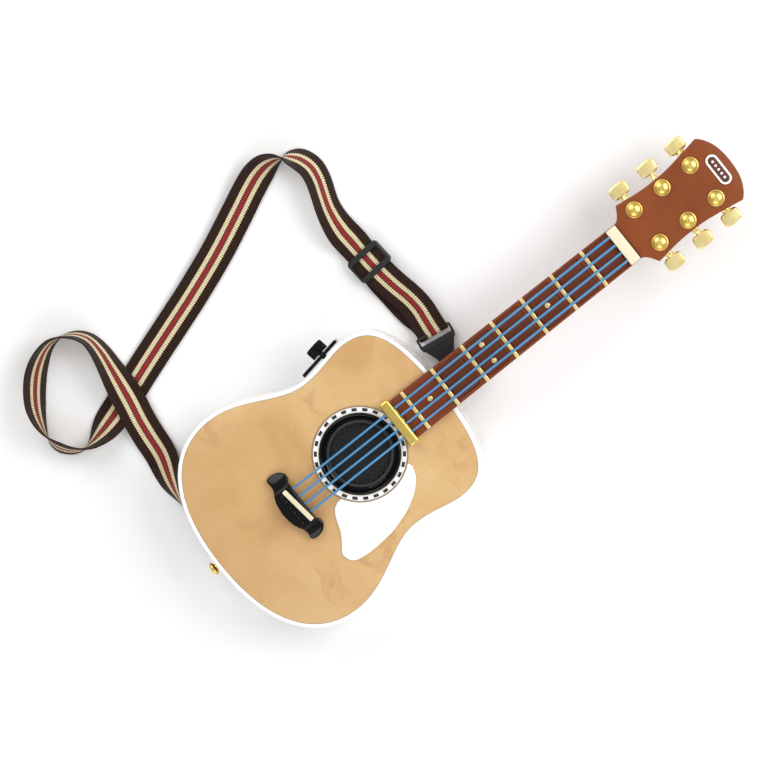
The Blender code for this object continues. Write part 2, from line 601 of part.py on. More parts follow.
def control_piece(item, along, out):
    """Moves a piece made about X to the control's place: out of the side wall, and along the plate."""
    turn = Matrix.Rotation(radians(PLATE_TURN), 4, "Z")
    base = Vector((PLATE_X, BODY_END + PLATE_AT, CONTROL_Z))
    bpy.context.view_layer.update()
    item.matrix_world = Matrix.Translation(base) @ turn @ Matrix.Translation((-out, along, 0)) @ item.matrix_world
    return item


def make_control():
    body = box((PLATE_THICK, PLATE_LENGTH, PLATE_WIDTH), (0, 0, 0), 0.0012)
    control_piece(body, 0, PLATE_THICK / 2)
    cut(body, control_piece(rod(SHAFT_RADIUS + SHAFT_CLEARANCE, 0.03, (0, 0, 0), "X"), KNOB_SHIFT, 0), "plate_hole")
    finish(body, "control_plate", BLACK)
    height, radius = KNOB_HEIGHT, KNOB_RADIUS
    knob = turned([(0, height), (radius - 0.0012, height), (radius, height - 0.0012), (radius, 0.0004),
                   (SHAFT_RADIUS, 0.0004), (SHAFT_RADIUS, -0.0120), (0, -0.0120)], (0, 0, 0), 40)
    knob.rotation_euler = (0, -pi / 2, 0)
    control_piece(knob, KNOB_SHIFT, PLATE_THICK + 2 * GAP)
    finish(knob, "volume_knob", BLACK)
    encoder = box(ENCODER_SIZE, (0, 0, 0), 0.0006)
    control_piece(encoder, KNOB_SHIFT, -ENCODER_IN)
    finish(encoder, "volume_encoder", STEEL)


# ---------- electronics and battery box ----------

def make_inside():
    main = box((*MAIN_BOARD_SIZE, BOARD_THICK), (0, BODY_END + MAIN_BOARD_AT, MAIN_BOARD_Z))
    finish(main, "main_board", GREEN_BOARD)
    door_y = BODY_END + DOOR_AT
    clear = DOOR_CLEARANCE
    door = box((DOOR_WIDTH - 2 * clear, DOOR_LENGTH - 2 * clear, WALL - 0.0006), (0, door_y, WALL / 2), 0.0004, 1)
    screw_y = door_y + DOOR_LENGTH / 2 - 0.0055
    cut(door, rod(0.0022, 0.01, (0, screw_y, 0), sides=24), "screw_hole")
    finish(door, "battery_door", WHITE)
    screw = turned([(0, 0.0090), (0.0010, 0.0090), (0.0010, 0.0026), (0.0018, 0.0022), (0.0018, 0.0008),
                    (0, 0.0008)], (0, screw_y, 0), 20)
    finish(screw, "battery_door_screw", STEEL)
    battery = box(BATTERY_SIZE, (0, door_y - 0.0030, WALL + GAP + BATTERY_SIZE[2] / 2), 0.0010)
    finish(battery, "battery_block", CELL)


# ---------- strap ----------

# Stations of the webbing: x, y from the body's lower end, lift of its lower edge, and turn in degrees.
# At turn 0 it lies flat with its right edge on the right; positive turns lift the right edge.
STRAP_STATIONS = [
    (-0.0574, 0.0036, 0.0078, 88), (-0.0650, 0.0049, 0.0062, 85), (-0.0740, 0.0061, 0.0042, 80),
    (-0.0870, 0.0072, 0.0020, 66), (-0.1060, 0.0108, 0.0010, 38), (-0.1330, 0.0184, 0.0012, 8),
    (-0.1592, 0.0212, 0.0030, 0), (-0.1800, 0.0245, 0.0056, -2), (-0.2000, 0.0290, 0.0062, -8),
    (-0.2190, 0.0325, 0.0045, -28), (-0.2430, 0.0362, 0.0020, -50), (-0.2640, 0.0388, 0.0008, -62),
    (-0.2810, 0.0380, 0.0006, -71), (-0.2925, 0.0325, 0.0006, -77), (-0.3005, 0.0240, 0.0006, -83),
    (-0.3055, 0.0142, 0.0006, -91), (-0.3068, 0.0026, 0.0006, -101), (-0.3040, -0.0095, 0.0006, -109),
    (-0.2973, -0.0227, 0.0006, -118), (-0.2882, -0.0347, 0.0006, -123), (-0.2760, -0.0460, 0.0006, -123),
    (-0.2635, -0.0548, 0.0006, -119), (-0.2524, -0.0602, 0.0006, -110), (-0.2415, -0.0638, 0.0006, -99),
    (-0.2300, -0.0660, 0.0006, -85), (-0.2200, -0.0660, 0.0006, -73), (-0.2105, -0.0626, 0.0006, -68),
    (-0.2012, -0.0556, 0.0006, -72), (-0.1952, -0.0474, 0.0006, -80), (-0.1927, -0.0395, 0.0006, -93),
    (-0.1925, -0.0300, 0.0006, -112), (-0.1942, -0.0200, 0.0006, -132), (-0.1972, -0.0080, 0.0006, -154),
    (-0.2020, 0.0080, 0.0006, -173), (-0.2085, 0.0270, 0.0005, -180), (-0.2240, 0.0720, 0.0005, -182),
    (-0.2409, 0.1242, 0.0005, -184), (-0.2520, 0.1580, 0.0005, -186), (-0.2700, 0.2064, 0.0006, -188),
    (-0.2900, 0.2520, 0.0006, -192), (-0.3010, 0.2760, 0.0006, -197), (-0.3078, 0.2935, 0.0006, -205),
    (-0.3104, 0.3070, 0.0006, -219), (-0.3100, 0.3170, 0.0006, -237), (-0.3085, 0.3240, 0.0006, -253),
    (-0.3062, 0.3298, 0.0006, -271), (-0.3025, 0.3350, 0.0006, -290), (-0.2945, 0.3420, 0.0006, -307),
    (-0.2850, 0.3462, 0.0006, -313), (-0.2750, 0.3475, 0.0006, -315), (-0.2618, 0.3452, 0.0006, -314),
    (-0.2469, 0.3398, 0.0006, -313), (-0.2335, 0.3350, 0.0006, -315), (-0.2180, 0.3316, 0.0010, -324),
    (-0.2021, 0.3302, 0.0035, -340), (-0.1900, 0.3308, 0.0062, -356), (-0.1760, 0.3319, 0.0070, -371),
    (-0.1660, 0.3326, 0.0070, -372), (-0.1574, 0.3332, 0.0070, -372), (-0.1490, 0.3338, 0.0070, -372),
    (-0.1390, 0.3346, 0.0070, -372), (-0.1198, 0.3376, 0.0068, -374), (-0.0990, 0.3420, 0.0068, -376),
    (-0.0830, 0.3430, 0.0070, -374), (-0.0700, 0.3415, 0.0078, -371), (-0.0615, 0.3404, 0.0084, -369)]
RETURN_STATIONS = [
    (-0.0655, 0.3400, 0.0046, 6), (-0.0740, 0.3390, 0.0034, 6), (-0.0860, 0.3360, 0.0018, 3),
    (-0.1000, 0.3345, 0.0010, 0), (-0.1160, 0.3335, 0.0008, 0), (-0.1300, 0.3325, 0.0010, -3),
    (-0.1385, 0.3325, 0.0014, -5)]


def band(stations, steps):
    """A flat strip of webbing along the stations, one pair of points across it at each."""
    points = smooth_through(stations, steps)
    shape = bmesh.new()
    pair = None
    for index, (x, y, lift, turn) in enumerate(points):
        before, after = points[max(index - 1, 0)], points[min(index + 1, len(points) - 1)]
        heading = Vector((after[0] - before[0], after[1] - before[1], 0)).normalized()
        right = Vector((heading.y, -heading.x, 0))
        lean = radians(turn)
        across = right * cos(lean) + Vector((0, 0, 1)) * sin(lean)
        height = lift + STRAP_WIDTH / 2 * abs(sin(lean)) + STRAP_THICK / 2 * abs(cos(lean))
        middle = Vector((x, BODY_END + y, height))
        ends = [middle - across * STRAP_WIDTH / 2, middle + across * STRAP_WIDTH / 2]
        if pair is None:
            pair = [shape.verts.new(end) for end in ends]
            edge = shape.edges.new(pair)
        else:
            grown = bmesh.ops.extrude_edge_only(shape, edges=[edge])["geom"]
            fresh = [piece for piece in grown if isinstance(piece, bmesh.types.BMVert)]
            edge = [piece for piece in grown if isinstance(piece, bmesh.types.BMEdge)
                    and all(vertex in fresh for vertex in piece.verts)][0]
            old_left = pair[0]
            left = [vertex for vertex in fresh
                    if any(link.other_vert(vertex) is old_left for link in vertex.link_edges)][0]
            pair = [left, [vertex for vertex in fresh if vertex is not left][0]]
            pair[0].co, pair[1].co = ends
    bmesh.ops.recalc_face_normals(shape, faces=shape.faces)
    item = mesh_from_bmesh(shape)
    wall = item.modifiers.new("thickness", "SOLIDIFY")
    wall.thickness = STRAP_THICK
    wall.offset = 0
    return item


def tab_shape():
    """A strap tab about X and Y: the pin's hole at the origin, and the webbing's bar towards -X."""
    wide, narrow, length = TAB_HALF_BAR, TAB_HALF_PIN, TAB_LENGTH
    nose = [(narrow * sin(a) * 1.1, narrow * cos(a)) for a in (pi * step / 10 for step in range(11))]
    half = STRAP_WIDTH / 2 + 0.0006
    ring = half + 0.0026
    lower = [(-0.0250, -narrow * 1.05), (-length + 0.0180, -wide * 0.90), (-length + 0.0145, -wide),
             (-length + 0.0115, -ring), (-length + 0.0015, -ring), (-length, -ring + 0.0015)]
    outline = nose + lower + [(x, -y) for x, y in reversed(lower)]
    hole = [(0.0048 * cos(a), 0.0048 * sin(a)) for a in (2 * pi * step / 16 for step in range(16))]
    slot_end, slot_start = -length + 0.0030, -length + 0.0100
    slot = [(slot_end, -half), (slot_start, -half), (slot_start, half), (slot_end, half)]
    return plate([outline, hole, slot], -TAB_THICK / 2, TAB_THICK / 2)


def make_strap():
    finish(band(STRAP_STATIONS, 3), "strap_webbing", WEBBING)
    finish(band(RETURN_STATIONS, 3), "strap_return", WEBBING)
    upper = tab_shape()
    upper.rotation_euler = (radians(-8), 0, radians(-9))
    upper.location = (0, BODY_END + BUTTON_AT, (BUTTON_HEAD_Z + HEEL_BOTTOM_Z) / 2 + 0.0014)
    finish(upper, "strap_tab_upper", GREY_BLACK)
    lower = tab_shape()
    for vertex in lower.data.vertices:
        vertex.co.z -= TAB_BEND * vertex.co.x ** 2
    lower.rotation_euler = (pi / 2, 0, 0)
    lower.location = (0, BODY_END - TAB_FROM_BODY, PIN_Z)
    finish(lower, "strap_tab_lower", GREY_BLACK)

    length, width, height = SLIDER_SIZE
    slider = box(SLIDER_SIZE, (0, 0, 0), 0.0010)
    inner = STRAP_WIDTH / 2 + 0.0005
    tunnel = STRAP_THICK + 2 * 0.0007
    openings = {"slider_tunnel": ((2 * length, 2 * inner, tunnel), (0, 0, 0)),
                "slider_window": ((length - 0.0080, 2 * inner, height), (0, 0, height / 2)),
                "slider_back_1": ((length, 2 * inner, height), (length / 2 + 0.0025, 0, -height / 2)),
                "slider_back_2": ((length, 2 * inner, height), (-length / 2 - 0.0025, 0, -height / 2))}
    turn = Matrix.Translation((SLIDER_POINT[0], BODY_END + SLIDER_POINT[1], SLIDER_POINT[2]))
    turn = turn @ Matrix.Rotation(radians(4), 4, "Z") @ Matrix.Rotation(radians(SLIDER_LEAN), 4, "X")
    for name, (size, centre) in openings.items():
        cutter = box(size, (0, 0, 0))
        cutter.matrix_world = turn @ Matrix.Translation(centre)
        cut(slider, cutter, name)
    slider.matrix_world = turn
    finish(slider, "strap_slider", GREY_BLACK)

    reach = PIN_LENGTH
    pin = turned([(0, reach), (PIN_HEAD_RADIUS * 0.6, reach - 0.0008), (PIN_HEAD_RADIUS, reach - 0.0035),
                  (PIN_HEAD_RADIUS * 0.9, reach - 0.0050), (PIN_STEM_RADIUS, reach - 0.0065),
                  (PIN_STEM_RADIUS, 0.0006), (0, 0.0006)], (0, BODY_END, PIN_Z), 32)
    pin.rotation_euler = (pi / 2, 0, 0)
    finish(pin, "end_pin", GOLD)
    top = HEEL_BOTTOM_Z - GAP
    low = BUTTON_HEAD_Z
    button = turned([(0, top), (PIN_STEM_RADIUS, top), (PIN_STEM_RADIUS, low + 0.0035), (0.0065, low + 0.0025),
                     (0.0065, low + 0.0008), (0.0055, low), (0, low)], (0, BODY_END + BUTTON_AT, 0), 32)
    finish(button, "heel_button", GOLD)


make_body()
make_face_trim()
make_bridge()
make_neck()
make_frets_and_keys()
make_strings()
make_tuners()
make_control()
make_inside()
make_strap()
bpy.context.view_layer.update()
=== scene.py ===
from math import cos, hypot, pi, radians, sin, tan

import bmesh
import bpy
from mathutils import Matrix, Vector


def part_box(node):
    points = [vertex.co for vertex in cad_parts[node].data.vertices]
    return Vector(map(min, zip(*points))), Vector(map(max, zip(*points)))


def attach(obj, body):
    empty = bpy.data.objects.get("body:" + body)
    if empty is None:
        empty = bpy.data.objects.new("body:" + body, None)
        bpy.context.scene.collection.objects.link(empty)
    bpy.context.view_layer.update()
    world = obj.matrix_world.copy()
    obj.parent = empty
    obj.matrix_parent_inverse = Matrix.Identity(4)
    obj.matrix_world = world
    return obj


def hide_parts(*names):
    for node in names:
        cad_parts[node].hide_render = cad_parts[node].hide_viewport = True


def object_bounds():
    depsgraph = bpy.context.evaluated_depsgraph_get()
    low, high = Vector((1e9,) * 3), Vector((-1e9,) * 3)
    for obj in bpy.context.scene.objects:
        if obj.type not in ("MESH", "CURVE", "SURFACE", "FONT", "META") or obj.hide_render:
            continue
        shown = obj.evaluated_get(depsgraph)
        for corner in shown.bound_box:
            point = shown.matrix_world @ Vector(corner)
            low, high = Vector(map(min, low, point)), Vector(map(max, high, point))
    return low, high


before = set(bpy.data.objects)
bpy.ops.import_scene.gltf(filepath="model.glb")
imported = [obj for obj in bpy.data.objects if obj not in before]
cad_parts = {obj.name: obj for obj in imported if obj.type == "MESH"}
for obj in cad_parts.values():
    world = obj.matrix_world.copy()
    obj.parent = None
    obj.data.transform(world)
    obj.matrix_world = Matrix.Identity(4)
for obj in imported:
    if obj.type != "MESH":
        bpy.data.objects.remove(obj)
cadLow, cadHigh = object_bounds()
scene = bpy.context.scene
print("frame loaded:", len(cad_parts), "nodes")

bodyLow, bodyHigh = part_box("back_shell")
bodyEnd = bodyLow.y                                # lower end of the body
bodyLength = bodyHigh.y - bodyEnd
splitZ = bodyHigh.z
faceLow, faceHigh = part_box("face_panel")
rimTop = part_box("front_shell")[1].z
ringLow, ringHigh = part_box("rosette_ring")
holeY = (ringLow.y + ringHigh.y) / 2
boardLow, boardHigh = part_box("fingerboard")
coverLow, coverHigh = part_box("headstock_cover")
neckLow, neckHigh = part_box("neck_back")
gap = 0.0003


# small tools

def shade(red, green, blue):
    # a screen colour, 0 to 255, as the linear one that shaders take
    linear = [c / 255 / 12.92 if c < 11 else ((c / 255 + 0.055) / 1.055) ** 2.4 for c in (red, green, blue)]
    return (*linear, 1.0)


def bezierRun(start, first, second, end, steps):
    run = []
    for step in range(steps):
        t = step / steps
        weights = ((1 - t) ** 3, 3 * (1 - t) ** 2 * t, 3 * (1 - t) * t * t, t ** 3)
        run.append(tuple(sum(w * p[axis] for w, p in zip(weights, (start, first, second, end)))
                         for axis in (0, 1)))
    return run


def throughPoints(points, steps):
    # a smooth run through points of any number of values
    last, run = len(points) - 1, []
    for index in range(last):
        four = [points[min(max(index + shift, 0), last)] for shift in (-1, 0, 1, 2)]
        for step in range(steps):
            t = step / steps
            weights = ((-t + 2 * t * t - t ** 3) / 2, (2 - 5 * t * t + 3 * t ** 3) / 2,
                       (t + 4 * t * t - 3 * t ** 3) / 2, (t ** 3 - t * t) / 2)
            run.append(tuple(sum(w * p[axis] for w, p in zip(weights, four))
                             for axis in range(len(points[0]))))
    return run + [tuple(points[last])]


def mirroredHalf(half):
    return half + [(-x, y) for x, y in reversed(half) if x > 0.00001]


def roundedRect(width, length, radius, steps=6):
    points = []
    for cornerX, cornerY, start in ((1, -1, -90), (1, 1, 0), (-1, 1, 90), (-1, -1, 180)):
        for step in range(steps + 1):
            angle = radians(start + 90 * step / steps)
            point = Vector((cornerX * (width / 2 - radius) + radius * cos(angle),
                            cornerY * (length / 2 - radius) + radius * sin(angle)))
            if not points or (point - points[-1]).length > 0.00002:
                points.append(point)
    return points


def roundRim(bm, z, width, segments=3, keep=None):
    # rounds the sharp edges that lie at the height z
    rim = [edge for edge in bm.edges if all(abs(v.co.z - z) < 0.00001 for v in edge.verts)
           and edge.calc_face_angle(0) > radians(30) and (keep is None or keep(edge))]
    bmesh.ops.bevel(bm, geom=rim, offset=width, segments=segments, profile=0.5, affect="EDGES", material=-1)


def slab(outline, low, high, topRound=0.0, lowRound=0.0, segments=3):
    # a flat outline given thickness, with its rims rounded
    bm = bmesh.new()
    face = bm.faces.new([bm.verts.new((x, y, low)) for x, y in outline])
    grown = bmesh.ops.extrude_face_region(bm, geom=[face])["geom"]
    bmesh.ops.translate(bm, verts=[v for v in grown if isinstance(v, bmesh.types.BMVert)],
                        vec=(0, 0, high - low))
    bmesh.ops.recalc_face_normals(bm, faces=bm.faces)
    if topRound:
        roundRim(bm, high, topRound, segments)
    if lowRound:
        roundRim(bm, low, lowRound, segments)
    return bm


def turnedShape(profile, steps=64):
    # a profile of (radius, height) spun about Z
    bm = bmesh.new()
    corners = [bm.verts.new((radius, 0, height)) for radius, height in profile]
    for first, second in zip(corners, corners[1:]):
        bm.edges.new((first, second))
    bmesh.ops.spin(bm, geom=bm.verts[:] + bm.edges[:], cent=(0, 0, 0), axis=(0, 0, 1), dvec=(0, 0, 0),
                   angle=2 * pi, steps=steps, use_merge=True)
    bmesh.ops.remove_doubles(bm, verts=bm.verts, dist=0.00001)
    bmesh.ops.recalc_face_normals(bm, faces=bm.faces)
    return bm


def rod(radius, low, high, steps):
    return turnedShape([(0, high), (radius, high), (radius, low), (0, low)], steps)


def softBlock(size, bevel, segments=3):
    bm = bmesh.new()
    bmesh.ops.create_cube(bm, size=1.0)
    bmesh.ops.scale(bm, vec=size, verts=bm.verts)
    bmesh.ops.bevel(bm, geom=bm.edges[:], offset=bevel, segments=segments, profile=0.5, affect="EDGES",
                    material=-1)
    return bm


def moved(bm, matrix):
    bmesh.ops.transform(bm, matrix=matrix, verts=bm.verts)
    return bm


def filling(name, bevel, segments):
    # a soft block as large as the named node, in its place
    low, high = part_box(name)
    block = softBlock((high.x - low.x, high.y - low.y, high.z - low.z), bevel, segments)
    return moved(block, at(*((low + high) / 2)))


def at(x, y, z):
    return Matrix.Translation((x, y, z))


def nextRing(bm, ring, edges):
    # extrudes the ring's edges, and gives the new vertices in the same order
    grown = bmesh.ops.extrude_edge_only(bm, edges=edges)["geom"]
    fresh = {v for v in grown if isinstance(v, bmesh.types.BMVert)}
    return [next(e.other_vert(v) for e in v.link_edges if e.other_vert(v) in fresh) for v in ring]


def addTo(bm, other):
    # takes the other shape's closed bodies into the first
    carried = bpy.data.meshes.new("carried")
    other.to_mesh(carried)
    other.free()
    bm.from_mesh(carried)
    bpy.data.meshes.remove(carried)
    return bm


def rawObject(name, bm):
    mesh = bpy.data.meshes.new(name)
    bm.to_mesh(mesh)
    bm.free()
    item = bpy.data.objects.new(name, mesh)
    scene.collection.objects.link(item)
    return item


def settle(item):
    # the modifiers' result becomes the mesh
    shaped = bpy.data.meshes.new_from_object(item.evaluated_get(bpy.context.evaluated_depsgraph_get()))
    item.modifiers.clear()
    item.data = shaped
    return item


def boolean(item, bm, operation="DIFFERENCE"):
    tool = rawObject("tool", bm)
    step = item.modifiers.new("cut", "BOOLEAN")
    step.operation = operation
    step.object = tool
    bpy.context.view_layer.update()
    settle(item)
    bpy.data.objects.remove(tool)
    return item


def soften(item, width, segments=2, angle=40):
    edge = item.modifiers.new("soft edges", "BEVEL")
    edge.width = width
    edge.segments = segments
    edge.limit_method = "ANGLE"
    edge.angle_limit = radians(angle)
    return item


def dress(item, material, replaces=(), body="guitar", smooth=40):
    item.data.shade_smooth()
    item.data.set_sharp_from_angle(angle=radians(smooth))
    item.data.materials.clear()
    item.data.materials.append(material)
    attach(item, body)
    if replaces:
        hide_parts(*replaces)
    return item


# materials

def node(tree, kind, inputs=None, **settings):
    made = tree.nodes.new("ShaderNode" + kind)
    for key, value in settings.items():
        setattr(made, key, value)
    for key, value in (inputs or {}).items():
        if isinstance(value, bpy.types.NodeSocket):
            tree.links.new(value, made.inputs[key])
        else:
            made.inputs[key].default_value = value
    return made


def maths(tree, operation, first, second=0.0, third=0.0):
    return node(tree, "Math", {0: first, 1: second, 2: third}, operation=operation).outputs[0]


def ramp(tree, factor, stops, interpolation="LINEAR"):
    made = node(tree, "ValToRGB", {0: factor})
    made.color_ramp.interpolation = interpolation
    elements = made.color_ramp.elements
    while len(elements) > 1:
        elements.remove(elements[-1])
    for index, (position, colour) in enumerate(stops):
        element = elements[0] if index == 0 else elements.new(position)
        element.position = position
        element.color = colour
    return made.outputs[0]


def blendColours(tree, factor, first, second, mode="MIX"):
    made = node(tree, "Mix", {0: factor, 6: first, 7: second}, data_type="RGBA", blend_type=mode)
    return made.outputs[2]


def spread(tree, value, low, high, fromLow=0.0, fromHigh=1.0):
    return node(tree, "MapRange", {0: value, 1: fromLow, 2: fromHigh, 3: low, 4: high}).outputs[0]


def noise(tree, vector, scale, detail, roughness=0.5, distortion=0.0):
    return node(tree, "TexNoise", {"Vector": vector, "Scale": scale, "Detail": detail,
                                   "Roughness": roughness, "Distortion": distortion}).outputs[0]


def bumpFrom(tree, shader, height, strength, distance):
    bump = node(tree, "Bump", {"Strength": strength, "Distance": distance, "Height": height})
    tree.links.new(bump.outputs[0], shader.inputs["Normal"])


def newMaterial(name, roughness, metallic=0.0, coat=0.0, coatRoughness=0.1, specular=0.5, sheen=0.0):
    material = bpy.data.materials.new(name)
    material.use_nodes = True
    tree = material.node_tree
    shader = tree.nodes["Principled BSDF"]
    shader.inputs["Roughness"].default_value = roughness
    shader.inputs["Metallic"].default_value = metallic
    shader.inputs["Coat Weight"].default_value = coat
    shader.inputs["Coat Roughness"].default_value = coatRoughness
    shader.inputs["Specular IOR Level"].default_value = specular
    shader.inputs["Sheen Weight"].default_value = sheen
    coords = node(tree, "TexCoord").outputs["Object"]
    return material, tree, shader, coords


def mouldedPlastic(name, colour, roughness, spots=0.06, grain=0.00002, coat=0.0, specular=0.5, flow=0.03):
    # colour that drifts a little, flow marks, fine grain and a few rubbed patches in the gloss
    material, tree, shader, coords = newMaterial(name, roughness, coat=coat, specular=specular)
    drift = noise(tree, coords, 18.0, 3.0)
    darker = tuple(c * (1 - spots) for c in colour[:3]) + (1.0,)
    paler = tuple(min(1.0, c * (1 + spots * 0.6)) for c in colour[:3]) + (1.0,)
    tree.links.new(ramp(tree, drift, [(0.3, darker), (0.5, colour), (0.7, paler)]),
                   shader.inputs["Base Color"])
    rubbed = noise(tree, coords, 55.0, 6.0, 0.7)
    tree.links.new(spread(tree, rubbed, roughness - flow, roughness + 2 * flow), shader.inputs["Roughness"])
    fine = noise(tree, coords, 900.0, 2.0)
    bumpFrom(tree, shader, fine, 0.5, grain)
    return material


def platedGold(name, colour, roughness):
    # bright plating over moulded plastic: slight orange peel, a warmer tint in places, small scuffs
    material, tree, shader, coords = newMaterial(name, roughness, metallic=1.0)
    tint = noise(tree, coords, 60.0, 3.0)
    warm = (colour[0] * 0.93, colour[1] * 0.86, colour[2] * 0.72, 1.0)
    tree.links.new(ramp(tree, tint, [(0.35, warm), (0.6, colour)]), shader.inputs["Base Color"])
    scuffs = noise(tree, coords, 350.0, 5.0, 0.75)
    tree.links.new(spread(tree, scuffs, roughness - 0.05, roughness + 0.14), shader.inputs["Roughness"])
    peel = noise(tree, coords, 260.0, 1.0)
    bumpFrom(tree, shader, peel, 0.35, 0.00012)
    return material


def woodPrint(name):
    # a pale maple print under a clear coat: long faint grain, soft clouds, a few darker smudges and a tone
    # darker towards the lower end, partly painted shade
    look = {"pale": shade(220, 184, 128), "mid": shade(211, 170, 114), "deep": shade(194, 148, 94),
            "smudge": shade(176, 112, 66)}
    material, tree, shader, coords = newMaterial(name, 0.42, coat=0.25, coatRoughness=0.2)
    placed = node(tree, "Mapping", {"Vector": coords, "Rotation": (0, 0, radians(-12))}).outputs[0]
    clouds = noise(tree, placed, 9.0, 5.0, 0.55, 0.6)
    base = ramp(tree, clouds, [(0.28, look["deep"]), (0.46, look["mid"]), (0.66, look["pale"])])
    long = node(tree, "Mapping", {"Vector": coords, "Scale": (330, 14, 1)}).outputs[0]
    grain = noise(tree, long, 1.0, 4.0, distortion=0.5)
    base = blendColours(tree, spread(tree, grain, 0.0, 0.22, 0.45, 0.8), base, look["deep"])
    patches = noise(tree, placed, 26.0, 6.0, 0.62, 1.4)
    where = noise(tree, placed, 7.0, 1.0)
    both = maths(tree, "MULTIPLY", spread(tree, patches, 0, 1, 0.56, 0.74),
                 spread(tree, where, 0, 1, 0.48, 0.66))
    base = blendColours(tree, maths(tree, "MULTIPLY", both, 0.8), base, look["smudge"])
    split = node(tree, "SeparateXYZ", {0: coords})
    # darker towards the body's lower end: partly the print's own tone, partly painted shade
    toneAndPaintedShadeTowardsEnd = spread(tree, split.outputs[1], 0.30, 0.0, bodyEnd, bodyEnd + bodyLength * 0.75)
    base = blendColours(tree, toneAndPaintedShadeTowardsEnd, base, look["deep"])
    tree.links.new(base, shader.inputs["Base Color"])
    tree.links.new(spread(tree, patches, 0.36, 0.5), shader.inputs["Roughness"])
    bumpFrom(tree, shader, grain, 0.15, 0.00005)
    return material


def rosettePrint(name, inner, outer):
    # printed rings about the sound hole: thin lines, black dashes on white, a brown outer edge
    look = {"dashes": 26, "white": shade(250, 250, 248), "black": shade(22, 20, 20),
            "grey": shade(140, 132, 122), "brown": shade(120, 92, 60), "tan": shade(196, 176, 150)}
    material, tree, shader, coords = newMaterial(name, 0.3, coat=0.3)
    centred = node(tree, "Mapping", {"Vector": coords, "Location": (0, -holeY, 0)}).outputs[0]
    split = node(tree, "SeparateXYZ", {0: centred})
    x, y = split.outputs[0], split.outputs[1]
    squares = maths(tree, "ADD", maths(tree, "MULTIPLY", x, x), maths(tree, "MULTIPLY", y, y))
    far = maths(tree, "SQRT", squares)
    share = spread(tree, far, 0, 1, inner, outer)
    turns = maths(tree, "MULTIPLY", maths(tree, "ARCTAN2", y, x), look["dashes"] / (2 * pi))
    dash = maths(tree, "GREATER_THAN", maths(tree, "FRACT", maths(tree, "ADD", turns, 100.0)), 0.5)
    stops = [(0.0, look["grey"]), (0.06, look["white"]), (0.15, look["grey"]), (0.19, look["white"]),
             (0.80, look["brown"]), (0.88, look["tan"]), (0.93, look["brown"])]
    rings = ramp(tree, share, stops, "CONSTANT")
    band = maths(tree, "MULTIPLY", maths(tree, "GREATER_THAN", share, 0.25),
                 maths(tree, "LESS_THAN", share, 0.70))
    colour = blendColours(tree, maths(tree, "MULTIPLY", band, dash), rings, look["black"])
    worn = noise(tree, coords, 300.0, 4.0)
    colour = blendColours(tree, spread(tree, worn, 0.0, 0.12, 0.4, 0.8), colour, look["grey"])
    tree.links.new(colour, shader.inputs["Base Color"])
    tree.links.new(spread(tree, worn, 0.22, 0.42), shader.inputs["Roughness"])
    bumpFrom(tree, shader, worn, 0.2, 0.00004)
    return material


def wovenStripes(name, width, ribPitch):
    # striped webbing by its own UV map: U across in metres, V along in metres
    look = {"brown": shade(50, 30, 22), "cream": shade(240, 222, 180), "red": shade(166, 44, 48),
            "green": shade(50, 62, 46)}
    material, tree, shader, coords = newMaterial(name, 0.85, sheen=0.12, specular=0.15)
    flat = node(tree, "UVMap", uv_map="weave").outputs[0]
    split = node(tree, "SeparateXYZ", {0: flat})
    across, along = split.outputs[0], split.outputs[1]
    rib = maths(tree, "SINE", maths(tree, "MULTIPLY", along, 2 * pi / ribPitch))
    yarn = noise(tree, flat, 1100.0, 3.0)
    shifted = maths(tree, "MULTIPLY_ADD", rib, 0.00035, across)
    shifted = maths(tree, "MULTIPLY_ADD", maths(tree, "SUBTRACT", yarn, 0.5), 0.0009, shifted)
    middle = maths(tree, "DIVIDE", maths(tree, "ABSOLUTE", shifted), width / 2)
    colour = ramp(tree, middle, [(0.0, look["red"]), (0.11, look["green"]), (0.18, look["cream"]),
                                 (0.44, look["brown"])], "CONSTANT")
    # painted shade in the rib hollows and painted light on the rib crests, mixed with the yarn's own random
    # tone below
    ribPaintedShading = spread(tree, rib, 0.40, 1.15, -1.0, 1.0)
    fibre = spread(tree, yarn, 0.7, 1.25, 0.25, 0.75)
    tone = maths(tree, "MULTIPLY", ribPaintedShading, fibre)
    toneColour = node(tree, "CombineColor", {0: tone, 1: tone, 2: tone}).outputs[0]
    soft = blendColours(tree, 0.7, colour, toneColour, "MULTIPLY")
    tree.links.new(soft, shader.inputs["Base Color"])
    warp = maths(tree, "SINE", maths(tree, "MULTIPLY", across, 2 * pi / 0.0011))
    height = maths(tree, "ADD", maths(tree, "MULTIPLY", rib, 0.6), maths(tree, "MULTIPLY", warp, 0.35))
    height = maths(tree, "ADD", height, maths(tree, "MULTIPLY", yarn, 0.5))
    bumpFrom(tree, shader, height, 0.8, 0.00035)
    tree.links.new(spread(tree, yarn, 0.7, 0.98), shader.inputs["Roughness"])
    return material


shellWhite = mouldedPlastic("shellWhite", shade(246, 244, 240), 0.3, spots=0.02)
trimWhite = mouldedPlastic("trimWhite", shade(252, 251, 249), 0.16, spots=0.012, coat=0.3)
facePrint = woodPrint("facePrint")
neckBrown = mouldedPlastic("neckBrown", shade(134, 68, 30), 0.36, spots=0.16, grain=0.00004, specular=0.3)
boardBrown = mouldedPlastic("boardBrown", shade(124, 58, 30), 0.36, spots=0.14, grain=0.00004, specular=0.3)
keyBrown = mouldedPlastic("keyBrown", shade(104, 50, 30), 0.38, spots=0.14, grain=0.00004, specular=0.3)
glossBlack = mouldedPlastic("glossBlack", shade(4, 4, 5), 0.10, coat=0.12, specular=0.22, flow=0.02)
grilleBlack = mouldedPlastic("grilleBlack", shade(52, 53, 54), 0.42, grain=0.00003, specular=0.3)
creamPlastic = mouldedPlastic("creamPlastic", shade(234, 223, 192), 0.34, spots=0.05)
gold = platedGold("platedGold", shade(245, 216, 122), 0.27)
goldPale = platedGold("platedGoldPale", shade(253, 238, 176), 0.36)
stringBlue = mouldedPlastic("stringBlue", shade(74, 143, 192), 0.30, spots=0.14, specular=0.4)
